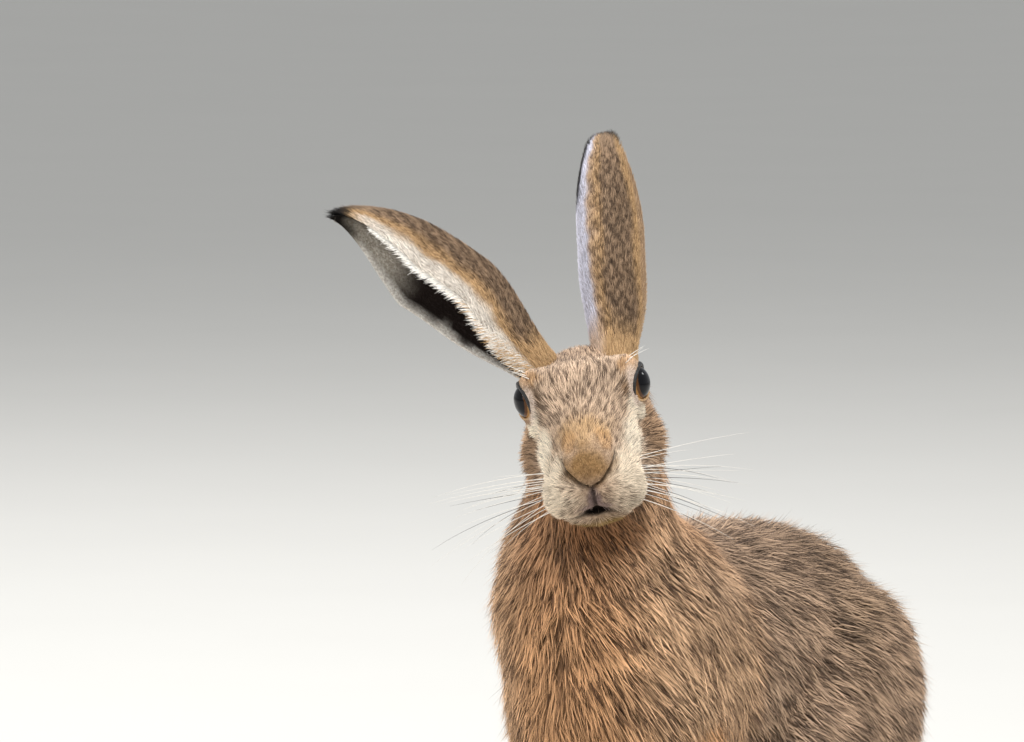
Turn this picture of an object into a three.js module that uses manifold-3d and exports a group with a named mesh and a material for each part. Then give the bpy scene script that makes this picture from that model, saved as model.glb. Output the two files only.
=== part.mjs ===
// A brown hare sitting alert, its head turned to its left, one ear lowered and the other up and turned back.
// Millimetres, +Z up, the body faces -Y and the hare's left side is +X. Every surface is the outside of the coat.
import * as THREE from "three";
import { mergeVertices } from "three/addons/utils/BufferGeometryUtils.js";
import Module from "manifold-3d";

const wasm = await Module();
wasm.setup();

// Driving dimensions of the whole animal.
const FINE = 0.64; // more or fewer points on every surface
const GAP = 0.3; // left between parts that touch
const DEG = Math.PI / 180;

// The head's place on the body: the point midway between the eyes, and how the head is turned from straight ahead.
const eyesAt = [14, -126, 268];
const headTurn = { yaw: 25, pitch: 14, roll: 9.9 };

// The head in its own axes: x to its left, y to the nose, z up, measured from the point midway between the eyes.
const eye = { radius: 10, apart: 40, openLong: 8.6, openHigh: 7.1, proud: 12, forward: 12 };
const ear = {
  length: 118,
  root: [15, -25, 5],
  wall: 3,
  width: 30,
  depth: 24.5, // from the line of the axis to the back of the ear
  rootWidth: 21,
  widestFrom: 0.42,
  narrowsFrom: 0.6,
  frontWrap: 94, // the angle that the sheet runs round at its middle, from its back to its front margin
  rearWrap: 122, // and to its rear margin
  rootWrap: 142,
  tipWrap: 62,
  axisInside: 0.26, // of the depth, from the axis line towards the opening
  left: { outward: 7, back: 52, turn: 168, bow: 0 },
  right: { outward: 48, back: 14, turn: 66, bow: 8 },
};

// Legs and feet, on the hare's left; the right ones mirror them.
const foreleg = {
  shoulder: [31, -50, 124],
  elbow: [33, -62, 98],
  wrist: [27, -94, 38],
  elbowRadius: 17.5,
  wristRadius: 10.5,
};
const forepaw = { heel: [27, -102, 17], toes: [28, -126, 9], heelRadius: 11, toesRadius: 10.5 };
const hindFoot = {
  heel: [50, 150, 13],
  ball: [55, 42, 10],
  toes: [57, 8, 8.5],
  heelRadius: 12.5,
  ballRadius: 15,
  toesRadius: 14.5,
};
const shank = { knee: [50, 66, 46], hock: [49, 156, 24], kneeRadius: 16, hockRadius: 11.5 };
const toe = { arc: 4.5, fore: { spread: 8.5, size: [4.8, 11, 8.5] }, hind: { spread: 11, size: [5.6, 14, 9.5] } };
const claw = { length: 11, radius: 1.7, bend: 0.022, splay: 0.12, foreReach: 14, hindReach: 20, height: 7.5 };

// Vectors are plain arrays of three numbers in the shapes below.
const add = (a, b) => [a[0] + b[0], a[1] + b[1], a[2] + b[2]];
const sub = (a, b) => [a[0] - b[0], a[1] - b[1], a[2] - b[2]];
const times = (a, k) => [a[0] * k, a[1] * k, a[2] * k];
const dot = (a, b) => a[0] * b[0] + a[1] * b[1] + a[2] * b[2];
const clamp = (x, low, high) => Math.min(Math.max(x, low), high);
const mix = (a, b, t) => a + (b - a) * t;
const mixed = (a, b, t) => a.map((x, i) => mix(x, b[i], t));
const mirrored = ([x, y, z]) => [-x, y, z];
const bothSides = [["left", 1], ["right", -1]];
const onSide = (point, side) => (side > 0 ? point : mirrored(point));

// Fields: each gives about how far a point is outside a shape, and is negative inside it.
// An ellipsoid, tipped by an angle about X and turned by one about Z.
function mass(at, size, tip = 0, turn = 0) {
  const [ct, st, cz, sz] = [Math.cos(tip * DEG), Math.sin(tip * DEG), Math.cos(turn * DEG), Math.sin(turn * DEG)];
  return (p) => {
    const d = sub(p, at);
    const x = cz * d[0] + sz * d[1];
    const y0 = -sz * d[0] + cz * d[1];
    const y = ct * y0 + st * d[2];
    const z = -st * y0 + ct * d[2];
    const near = Math.hypot(x / size[0], y / size[1], z / size[2]);
    const slope = Math.hypot(x / size[0] ** 2, y / size[1] ** 2, z / size[2] ** 2);
    return slope < 1e-9 ? -Math.min(...size) : (near * (near - 1)) / slope;
  };
}

// A round limb from a to b whose radius runs from one to the other, flattened in z by flat.
function limb(a, b, radiusA, radiusB, flat = 1) {
  const ab = sub(b, a);
  const whole = dot(ab, ab);
  return (p) => {
    const ap = sub(p, a);
    const t = clamp(dot(ap, ab) / whole, 0, 1);
    const off = sub(ap, times(ab, t));
    return Math.hypot(off[0], off[1], off[2] / flat) - mix(radiusA, radiusB, t);
  };
}

// Shapes run together, with a fillet of about size k between them.
const blend = (k, ...fields) => (p) =>
  fields.map((field) => field(p)).reduce((a, b) => {
    const h = Math.max(k - Math.abs(a - b), 0) / k;
    return Math.min(a, b) - (h * h * k) / 4;
  });

const pair = (at, size, tip = 0, turn = 0) =>
  [mass(at, size, tip, turn), mass(mirrored(at), size, tip, -turn)];

// The trunk: breast, shoulders, barrel and rump, without the neck and the limbs.
const trunkField = blend(
  24,
  mass([0, -80, 144], [37, 43, 50]),
  mass([0, -48, 148], [47, 56, 61]),
  mass([0, 20, 136], [56, 96, 65]),
  mass([0, 100, 122], [59, 92, 71], -6),
  ...pair([31, -58, 126], [17, 34, 44]),
);

const neckField = blend(18, limb([-3, -72, 168], [9, -95, 230], 41, 31), mass([-11, -80, 190], [35, 33, 31]));

// Where trunk and neck run together, each reaches no more than a fillet's height over its own shape.
const FILLET = 9;
const withFillet = (own, both) => (p) => Math.max(both(p), own(p) - FILLET);
const torsoField = blend(22, trunkField, neckField);

// The thigh of a folded hind leg.
const thighField = (side) =>
  blend(
    16,
    mass([44 * side, 92, 104], [32, 76, 66], 16, -3 * side),
    mass([49 * side, 40, 74], [24, 40, 39], 20),
    mass([47 * side, 92, 60], [26, 62, 37], -4),
  );

const tail = { root: [0, 172, 92], middle: [0, 200, 66], tip: [0, 216, 30], rootRadius: 15, middleRadius: 21, tipRadius: 9 };
const tailField = blend(
  12,
  limb(tail.root, tail.middle, tail.rootRadius, tail.middleRadius),
  limb(tail.middle, tail.tip, tail.middleRadius, tail.tipRadius),
);

// The head.
const headField = blend(
  8,
  mass([0, -19, -8], [26.5, 33, 21.5]),
  mass([0, 3, -5], [23.5, 26, 19]),
  ...pair([19.5, 3, 8], [6.5, 14, 6], 0, 8),
  limb([0, 8, -7], [0, 44, -20], 20, 13),
  mass([0, 22, -21], [20, 32, 19], -24),
  ...pair([10, 22, -25], [14, 26, 15], -14, 12),
  mass([0, 48.5, -21], [12, 11.5, 11.5], -30),
  ...pair([11.2, 43.5, -31.5], [12.8, 14.5, 12], 0, -8),
  mass([0, 38, -40], [12.5, 15, 8.5], 10),
  limb([0, 28, -35], [0, -14, -36], 14, 18),
  ...pair([17, -10, -31], [16.2, 27, 18.5], -12, 4),
  mass([0, -28, -26], [27, 26, 24]),
  ...pair([eye.apart / 2 - 3, 0, 0], [9.4, 13, 12.3]),
);

// The frame across an axis curve: which way the axis runs, and two directions square to it.
function framesOf(curve, across) {
  return (t) => {
    const along = curve.getTangent(t).toArray();
    const side = sub(across, times(along, dot(across, along)));
    const unit = times(side, 1 / Math.hypot(...side));
    const up = new THREE.Vector3(...unit).cross(new THREE.Vector3(...along)).toArray();
    return { origin: curve.getPoint(t).toArray(), along, side: unit, up };
  };
}

// How far out along a ray the field first comes to the level.
function reachOf(field, origin, direction, level, farthest) {
  const at = (distance) => field(add(origin, times(direction, distance))) - level;
  let inside = 0;
  let outside = farthest;
  for (let distance = 1.5; distance < farthest; distance += 1.5) {
    if (at(distance) > 0) {
      outside = distance;
      break;
    }
    inside = distance;
  }
  for (let step = 0; step < 14; step++) {
    const middle = (inside + outside) / 2;
    if (at(middle) > 0) outside = middle;
    else inside = middle;
  }
  return (inside + outside) / 2;
}

// A closed body on a sphere's net: its rows run along an axis curve, the end rows fan round the curve's ends, and every
// point is pushed out to where the field comes to the level.
function body(field, axis, { around, along, ends = 0.25, level = 0, farthest = 150, across = [1, 0, 0] }) {
  const geometry = new THREE.SphereGeometry(1, Math.round(around * FINE), Math.round(along * FINE));
  const curve = new THREE.CatmullRomCurve3(axis.map((point) => new THREE.Vector3(...point)));
  const frameAt = framesOf(curve, across);
  const { position, uv } = geometry.attributes;
  for (let i = 0; i < position.count; i++) {
    const row = 1 - uv.getY(i);
    const round = uv.getX(i) * 2 * Math.PI;
    const fan = row < ends ? row / ends - 1 : row > 1 - ends ? 1 - (1 - row) / ends : 0;
    const frame = frameAt(clamp((row - ends) / (1 - 2 * ends), 0, 1));
    const outward = add(times(frame.side, Math.cos(round)), times(frame.up, Math.sin(round)));
    const turn = (fan * Math.PI) / 2;
    const direction = add(times(outward, Math.cos(turn)), times(frame.along, Math.sin(turn)));
    const reach = reachOf(field, frame.origin, direction, level, farthest);
    position.setXYZ(i, ...add(frame.origin, times(direction, reach)));
  }
  return solid(geometry);
}

// A closed geometry as a solid, its faces turned to look outwards.
function solid(geometry, matrix) {
  const bare = geometry.clone();
  for (const name of Object.keys(bare.attributes)) if (name !== "position") bare.deleteAttribute(name);
  if (matrix) bare.applyMatrix4(matrix);
  const merged = mergeVertices(bare, 1e-3);
  const corners = merged.attributes.position.array;
  const net = [];
  const index = merged.index.array;
  for (let i = 0; i < index.length; i += 3) {
    const [a, b, c] = index.slice(i, i + 3);
    if (a !== b && b !== c && c !== a) net.push(a, b, c);
  }
  let volume = 0;
  for (let i = 0; i < net.length; i += 3) {
    const [a, b, c] = [0, 1, 2].map((k) => new THREE.Vector3().fromArray(corners, net[i + k] * 3));
    volume += a.dot(b.cross(c));
  }
  if (volume < 0) net.reverse();
  return new wasm.Manifold(
    new wasm.Mesh({ numProp: 3, vertProperties: Float32Array.from(corners), triVerts: Uint32Array.from(net) }),
  );
}

// The largest closed surface of what a cut leaves.
const largest = (cut) => cut.decompose().sort((a, b) => b.volume() - a.volume())[0];

// A big box on one side of a plane, as a solid to cut with.
const HALF = 1000;
function halfSpace(point, normal) {
  const place = new THREE.Matrix4().lookAt(new THREE.Vector3(...normal), new THREE.Vector3(), new THREE.Vector3(0, 0.1, 1));
  place.setPosition(...point);
  return solid(new THREE.BoxGeometry(HALF, HALF, HALF).translate(0, 0, HALF / 2), place);
}

// The part of a solid on the side of a plane that the normal points to, half a gap short of it.
const beyond = (whole, point, normal) => {
  const unit = times(normal, 1 / Math.hypot(...normal));
  return whole.intersect(halfSpace(add(point, times(unit, GAP / 2)), unit));
};

// The head's axes in the body's: its left, its nose and its crown.
const headMatrix = (() => {
  const { yaw, pitch, roll } = headTurn;
  const turned = new THREE.Matrix4().makeRotationZ(yaw * DEG);
  turned.multiply(new THREE.Matrix4().makeRotationX(pitch * DEG));
  turned.multiply(new THREE.Matrix4().makeRotationY(-roll * DEG));
  // The head's y runs to its nose, which is -y of the body's axes, so z turns it half round and x is put back.
  const axes = new THREE.Matrix4().makeScale(1, -1, 1);
  return new THREE.Matrix4().makeTranslation(...eyesAt).multiply(turned).multiply(axes);
})();

// The head without its eyes and openings, or the space round it that its neighbours keep clear of.
const headBody = (level = 0) =>
  body(headField, [[0, -30, -14], [0, -6, -13], [0, 20, -18], [0, 42, -27]], {
    around: 44,
    along: 50,
    ends: 0.3,
    level,
    farthest: 60,
  });

const eyeCentre = (side) => [(eye.apart / 2) * side, 0, 0];

// The eyeball's direction of sight: out to the side, a little forward.
const sight = (side) => [Math.cos(eye.forward * DEG) * side, Math.sin(eye.forward * DEG), 0.08];

function lookingAlong(centre, direction, scale) {
  const place = new THREE.Matrix4().lookAt(new THREE.Vector3(...direction), new THREE.Vector3(), new THREE.Vector3(0, 0, 1));
  place.setPosition(...centre);
  return place.scale(new THREE.Vector3(...scale));
}

const eyeball = (side, radius) =>
  solid(new THREE.SphereGeometry(radius, 20, 13), lookingAlong(eyeCentre(side), sight(side), [1, 1, 1]));

// The opening between the lids.
const lidOpening = (side) =>
  solid(
    new THREE.SphereGeometry(1, 20, 12),
    lookingAlong(add(eyeCentre(side), times(sight(side), eye.proud)), sight(side), [
      eye.openLong,
      eye.openHigh,
      eye.proud - 3.6,
    ]),
  );

// Thin blades that cut the fold over each nostril, the cleft of the lip and the line of the mouth.
function blade(at, size, turns) {
  const place = new THREE.Matrix4().makeRotationFromEuler(new THREE.Euler(...turns.map((angle) => angle * DEG), "ZYX"));
  place.setPosition(...at);
  return solid(new THREE.SphereGeometry(1, 12, 8), place.scale(new THREE.Vector3(...size)));
}
const faceCuts = () => [
  ...[1, -1].map((side) => blade([7.5 * side, 56, -23.5], [7.5, 4.5, 0.9], [0, -34 * side, -28 * side])),
  blade([0, 59, -32], [0.8, 3, 5.5], [18, 0, 0]),
  blade([0, 50.5, -39.5], [9, 5, 1.5], [-14, 0, 0]),
  ...[1, -1].map((side) => blade([11 * side, 43, -40.5], [9, 4, 0.9], [-14, -10 * side, -50 * side])),
];

function headSolid() {
  const hollows = bothSides.flatMap(([, side]) => [eyeball(side, eye.radius + GAP), lidOpening(side)]);
  return largest([...hollows, ...faceCuts()].reduce((head, cut) => head.subtract(cut), headBody()));
}

// An ear: a leaf of even thickness rolled round its length, with the outer and inner faces split alike.
function earSolid(side, pose) {
  const columns = Math.round(18 * FINE);
  const rows = Math.round(26 * FINE);
  const axisAngles = { outward: pose.outward * DEG, back: pose.back * DEG };
  const up = [
    Math.sin(axisAngles.outward) * Math.cos(axisAngles.back) * side,
    -Math.sin(axisAngles.back),
    Math.cos(axisAngles.outward) * Math.cos(axisAngles.back),
  ];
  // Straight ahead of the ear is forward, square to its length; turn swings its opening outwards from there.
  const ahead = new THREE.Vector3(0, 1, 0.2).addScaledVector(new THREE.Vector3(...up), -dot([0, 1, 0.2], up)).normalize();
  const opening = ahead.clone().applyAxisAngle(new THREE.Vector3(...up), -pose.turn * DEG * side);
  const breadth = new THREE.Vector3(...up).cross(opening);
  const root = onSide(ear.root, side);
  const at = (row, column, wall) => {
    const s = row / rows;
    const widening = THREE.MathUtils.smoothstep(s, 0, ear.widestFrom);
    const narrowing = clamp((s - ear.narrowsFrom) / (1 - ear.narrowsFrom), 0, 0.995);
    const leaf = Math.sqrt(1 - narrowing ** 2.2);
    const half = (mix(ear.rootWidth, ear.width, widening) / 2) * leaf;
    const depth = mix(ear.rootWidth / 2, ear.depth, widening) * leaf;
    const across = (2 * column) / columns - 1;
    const middleWrap = across * side > 0 ? ear.frontWrap : ear.rearWrap;
    const wrap = mix(mix(ear.rootWrap, middleWrap, widening), ear.tipWrap, narrowing) * DEG;
    const thick = ear.wall * mix(1, 0.55, Math.abs(across) ** 3) * mix(1, 0.5, narrowing);
    const shrink = (size) => size * (1 - (wall * thick) / Math.max(size, 3));
    const point = new THREE.Vector3(...root).addScaledVector(new THREE.Vector3(...up), s * ear.length - wall * thick * s);
    const bow = pose.bow * Math.sin(Math.PI * s);
    point.addScaledVector(breadth, Math.sin(across * wrap) * shrink(half));
    point.addScaledVector(opening, -Math.cos(across * wrap) * shrink(depth) + ear.axisInside * depth - bow);
    return point.toArray();
  };
  const outer = new THREE.PlaneGeometry(1, 1, columns, rows);
  const count = (columns + 1) * (rows + 1);
  const corners = [0, 1].flatMap((wall) =>
    Array.from({ length: count }, (_, i) => at(Math.floor(i / (columns + 1)), i % (columns + 1), wall)).flat(),
  );
  const faces = Array.from(outer.index.array);
  const inner = faces.map((_, i) => faces[i - (i % 3) + 2 - (i % 3)] + count);
  const rim = [
    ...Array.from({ length: columns }, (_, c) => c + 1),
    ...Array.from({ length: rows }, (_, r) => (r + 2) * (columns + 1) - 1),
    ...Array.from({ length: columns }, (_, c) => rows * (columns + 1) + columns - 1 - c),
    ...Array.from({ length: rows }, (_, r) => (rows - 1 - r) * (columns + 1)),
  ];
  const edge = rim.flatMap((b, i) => {
    const a = rim[(i + rim.length - 1) % rim.length];
    return [a, b, a + count, b, b + count, a + count];
  });
  const geometry = new THREE.BufferGeometry();
  geometry.setAttribute("position", new THREE.Float32BufferAttribute(corners, 3));
  geometry.setIndex([...faces, ...inner, ...edge]);
  return solid(geometry);
}

// Feet: a long pad with four toes at its front, cut flat where it stands on the floor.
const TOES_ACROSS = [-1, -1 / 3, 1 / 3, 1];
const toes = (at, { spread, size }) =>
  TOES_ACROSS.map((across) => mass([at[0] + across * spread, at[1] + toe.arc * across * across, at[2]], size));

const floorCut = (whole) => whole.intersect(halfSpace([0, 0, 0], [0, 0, 1]));

const forepawField = (side) => {
  const [heel, front] = [onSide(forepaw.heel, side), onSide(forepaw.toes, side)];
  return blend(
    5,
    limb(heel, front, forepaw.heelRadius, forepaw.toesRadius, 0.95),
    limb(onSide(foreleg.wrist, side), heel, foreleg.wristRadius, forepaw.heelRadius),
    ...toes([front[0], front[1] - 6, 6.5], toe.fore),
  );
};
const forelegField = (side) => {
  const [shoulder, elbow, wrist] = [foreleg.shoulder, foreleg.elbow, foreleg.wrist].map((at) => onSide(at, side));
  return blend(
    10,
    limb(shoulder, elbow, 1.25 * foreleg.elbowRadius, 1.05 * foreleg.elbowRadius),
    limb(elbow, wrist, foreleg.elbowRadius, foreleg.wristRadius),
  );
};

const shankField = (side) =>
  limb(onSide(shank.knee, side), onSide(shank.hock, side), shank.kneeRadius, shank.hockRadius);
const hindFootField = (side) => {
  const [heel, ball, front] = [hindFoot.heel, hindFoot.ball, hindFoot.toes].map((at) => onSide(at, side));
  return blend(
    6,
    limb(heel, ball, hindFoot.heelRadius, hindFoot.ballRadius, 0.95),
    limb(ball, front, hindFoot.ballRadius, hindFoot.toesRadius, 0.78),
    ...toes([front[0], front[1] - 9, 7.5], toe.hind),
  );
};

// A claw: a cone bent down towards its tip, with its root in the toe.
function clawSolid(at, forward) {
  const geometry = new THREE.ConeGeometry(claw.radius, claw.length, 8, 3).translate(0, claw.length / 2, 0);
  const { position } = geometry.attributes;
  for (let i = 0; i < position.count; i++) {
    const along = position.getY(i);
    position.setZ(i, position.getZ(i) - claw.bend * along * along);
  }
  const place = new THREE.Matrix4().makeRotationZ(Math.atan2(-forward[0], forward[1]));
  place.setPosition(...at);
  return solid(geometry, place);
}

// Where each claw of a foot is rooted, ahead of the foot's front, and which way it points.
const clawsOf = (front, { spread }, reach) =>
  TOES_ACROSS.map((across) => ({
    at: [front[0] + across * spread, front[1] - reach + toe.arc * across * across, claw.height],
    forward: [claw.splay * across, -1],
  }));

// The parts in the order in which they are cut: each keeps a gap from those before it.
const coats = {
  fawn: { color: "#b08a5e", roughness: 0.9 },
  face: { color: "#b8966a", roughness: 0.9 },
  rufous: { color: "#b5773f", roughness: 0.9 },
  grey: { color: "#8d7c66", roughness: 0.9 },
  ear: { color: "#8f7757", roughness: 0.88 },
  foot: { color: "#b98e5c", roughness: 0.92 },
  tail: { color: "#d9d0c0", roughness: 0.92 },
  eye: { color: "#120b08", roughness: 0.06 },
  horn: { color: "#3a2d22", roughness: 0.45 },
};

const hare = new THREE.Group();
const toThreeMesh = (name, whole, look) => {
  const { numProp, numVert, vertProperties, triVerts } = whole.getMesh();
  const corners = new Float32Array(numVert * 3);
  for (let i = 0; i < numVert; i++) corners.set(vertProperties.subarray(i * numProp, i * numProp + 3), i * 3);
  const geometry = new THREE.BufferGeometry();
  geometry.setAttribute("position", new THREE.BufferAttribute(corners, 3));
  geometry.setIndex(new THREE.BufferAttribute(Uint32Array.from(triVerts), 1));
  const mesh = new THREE.Mesh(geometry, new THREE.MeshStandardMaterial({ metalness: 0, ...coats[look] }));
  mesh.name = name;
  hare.add(mesh);
};

const placed = (whole) => whole.transform(headMatrix.toArray());
const head = headSolid();
const headKeepOut = headBody(GAP);
toThreeMesh("head", placed(head), "face");
for (const [name, side] of bothSides) {
  toThreeMesh(`eye_${name}`, placed(eyeball(side, eye.radius)), "eye");
  toThreeMesh(`ear_${name}`, placed(largest(earSolid(side, ear[name]).subtract(headKeepOut))), "ear");
}

const trunkShape = (level) =>
  body(withFillet(trunkField, torsoField), [[0, -104, 148], [0, -30, 150], [0, 50, 138], [0, 128, 118]], {
    around: 40,
    along: 52,
    ends: 0.24,
    level,
  });
const trunk = trunkShape(0);
const trunkKeepOut = trunkShape(GAP);
const NECK_UNDER = -1.4; // the neck's net keeps this much inside the trunk's where the two run together
const neck = body(withFillet(neckField, torsoField), [[3, -84, 178], [13, -97, 228]], {
  around: 30,
  along: 22,
  ends: 0.3,
  level: NECK_UNDER,
});
const torso = largest(trunk.add(neck).subtract(placed(headKeepOut)));

const neckPlane = { at: [2, -84, 196], facing: [0.16, -0.42, 0.9] };
const chestEnd = [0, -18, 0];
const rumpStart = [0, 62, 0];
toThreeMesh("neck", largest(beyond(torso, neckPlane.at, neckPlane.facing)), "rufous");
const belowNeck = largest(beyond(torso, neckPlane.at, times(neckPlane.facing, -1)));
toThreeMesh("chest", largest(beyond(belowNeck, chestEnd, [0, -1, 0])), "rufous");
toThreeMesh("barrel", largest(beyond(beyond(belowNeck, chestEnd, [0, 1, 0]), rumpStart, [0, -1, 0])), "fawn");
toThreeMesh("rump", largest(beyond(belowNeck, rumpStart, [0, 1, 0])), "grey");

const tailBody = body(tailField, [tail.root, tail.middle, mixed(tail.middle, tail.tip, 0.7)], { around: 22, along: 26 });
toThreeMesh("tail", largest(tailBody.subtract(trunkKeepOut)), "tail");

for (const [name, side] of bothSides) {
  const legAxis = [foreleg.elbow, foreleg.wrist].map((point) => onSide(point, side));
  const leg = body(forelegField(side), legAxis, { around: 18, along: 18 });
  const pawAxis = [forepaw.heel, forepaw.toes].map((point) => onSide(point, side));
  const pawShape = (level) =>
    body(forepawField(side), pawAxis, { around: 22, along: 26, level, farthest: 40, ends: 0.3 });
  toThreeMesh(`forepaw_${name}`, largest(floorCut(pawShape(0))), "foot");
  toThreeMesh(`foreleg_${name}`, largest(leg.subtract(trunkKeepOut).subtract(pawShape(GAP))), "rufous");
  clawsOf(pawAxis[1], toe.fore, claw.foreReach).forEach(({ at, forward }, i) => {
    toThreeMesh(`claw_fore_${name}_${i + 1}`, largest(clawSolid(at, forward).subtract(pawShape(GAP))), "horn");
  });

  const thighShape = (level) =>
    body(thighField(side), [[46 * side, 60, 92], [44 * side, 108, 112]], { around: 26, along: 24, level, ends: 0.36 });
  toThreeMesh(`thigh_${name}`, largest(thighShape(0).subtract(trunkKeepOut)), "fawn");

  const footAxis = [hindFoot.heel, hindFoot.toes].map((point) => onSide(point, side));
  const footShape = (level) =>
    body(hindFootField(side), footAxis, { around: 22, along: 34, level, farthest: 40, ends: 0.2 });
  const keepOut = [trunkKeepOut, thighShape(GAP)];
  const foot = keepOut.reduce((whole, cut) => whole.subtract(cut), footShape(0));
  toThreeMesh(`hind_foot_${name}`, largest(floorCut(foot)), "foot");
  const shankAxis = [shank.knee, shank.hock].map((point) => onSide(point, side));
  const lower = body(shankField(side), shankAxis, { around: 18, along: 18 });
  const cutLower = [...keepOut, footShape(GAP)].reduce((whole, cut) => whole.subtract(cut), lower);
  toThreeMesh(`shank_${name}`, largest(cutLower), "fawn");
  clawsOf(footAxis[1], toe.hind, claw.hindReach).forEach(({ at, forward }, i) => {
    toThreeMesh(`claw_hind_${name}_${i + 1}`, largest(clawSolid(at, forward).subtract(footShape(GAP))), "horn");
  });
}

// The origin is under the middle of the whole, on the floor.
const bounds = new THREE.Box3().setFromObject(hare, true);
const middle = bounds.getCenter(new THREE.Vector3());
hare.position.set(-middle.x, -middle.y, -bounds.min.z);

export default hare;
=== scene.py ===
"""A brown hare sitting alert, dressed round its solids: skin, coat, eyes, lids, whiskers and claws.

Lengths are millimetres until a mesh is made of them. +Z is up, the body faces -Y and its left side is +X.
MIDLINE is the x of the trunk's middle plane. The head has axes of its own: x to its left, y to the nose and z
to the crown, from the point midway between the eyes.
"""

import enum
import logging
import math
from collections.abc import Sequence
from dataclasses import dataclass

import bpy
import numpy as np
import openvdb
from mathutils import Matrix, Vector, kdtree


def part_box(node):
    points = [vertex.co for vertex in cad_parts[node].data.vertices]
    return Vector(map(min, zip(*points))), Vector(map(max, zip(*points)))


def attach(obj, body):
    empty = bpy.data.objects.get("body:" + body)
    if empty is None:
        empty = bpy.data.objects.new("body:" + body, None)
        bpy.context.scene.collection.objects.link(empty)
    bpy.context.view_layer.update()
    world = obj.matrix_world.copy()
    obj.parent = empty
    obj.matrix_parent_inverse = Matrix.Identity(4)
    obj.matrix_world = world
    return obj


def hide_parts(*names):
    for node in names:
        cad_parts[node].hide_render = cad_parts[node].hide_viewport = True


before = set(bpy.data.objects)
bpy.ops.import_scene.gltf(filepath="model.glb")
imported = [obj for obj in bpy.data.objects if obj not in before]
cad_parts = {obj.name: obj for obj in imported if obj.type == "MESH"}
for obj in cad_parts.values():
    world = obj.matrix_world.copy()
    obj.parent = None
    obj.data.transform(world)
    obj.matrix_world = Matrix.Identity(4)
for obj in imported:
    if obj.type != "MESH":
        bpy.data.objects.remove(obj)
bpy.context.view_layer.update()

MM = 0.001
SEED = 20
MIDLINE = 14
Array = np.ndarray
Band = tuple[float, float]
log = logging.getLogger("hare")


# Numbers, vectors and colours.
def smoothstep(low: float, high: float, x: Array | float) -> Array | float:
    """0 below low, 1 above high and a smooth rise between; low may be the larger."""
    t = np.clip((x - low) / (high - low), 0.0, 1.0)
    return t * t * (3 - 2 * t)


def mix(a: Array | float, b: Array | float, t: Array | float) -> Array | float:
    """From a to b as t goes from 0 to 1."""
    return a + (b - a) * t


def unit(v: Array) -> Array:
    """The vectors of the last axis at length 1."""
    return v / np.maximum(np.linalg.norm(v, axis=-1, keepdims=True), 1e-9)


def colour(code: str) -> Array:
    """A web colour such as "b98350" as linear red, green and blue."""
    display = np.array([int(code[i : i + 2], 16) for i in (0, 2, 4)]) / 255
    return np.where(display <= 0.04045, display / 12.92, ((display + 0.055) / 1.055) ** 2.4)


def ripple(points: Array, size: float, seed: int) -> Array:
    """A smooth wandering value from about -1 to 1, with features of about the given size.

    Args:
        points: where it is read, one row each.
        size: the width of its features in millimetres.
        seed: picks one pattern of many.
    Returns:
        One value for each point.
    """
    rng = np.random.default_rng(seed)
    waves = 7
    ways = unit(rng.normal(size=(waves, 3))) * rng.uniform(0.6, 1.5, (waves, 1)) * (math.pi / size)
    return np.sin(points @ ways.T + rng.uniform(0, 2 * math.pi, waves)).sum(1) / math.sqrt(waves)


def turned(v: Array, about: Array, angle: Array) -> Array:
    """Each vector turned about a unit vector square to it, by an angle in radians."""
    return v * np.cos(angle)[:, None] + np.cross(about, v) * np.sin(angle)[:, None]


def nearest_of(places: Array, points: Array) -> Array:
    """Which of some places is nearest to each point.

    Args:
        places: the places.
        points: the points.
    Returns:
        The number of one place for each point.
    """
    tree = kdtree.KDTree(len(places))
    for i, place in enumerate(places):
        tree.insert(place, i)
    tree.balance()
    return np.array([tree.find(p)[1] for p in points])


def rotation(axis: str, degrees: float) -> Array:
    """The matrix that turns by an angle about one of the axes."""
    return np.array(Matrix.Rotation(math.radians(degrees), 3, axis))


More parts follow.
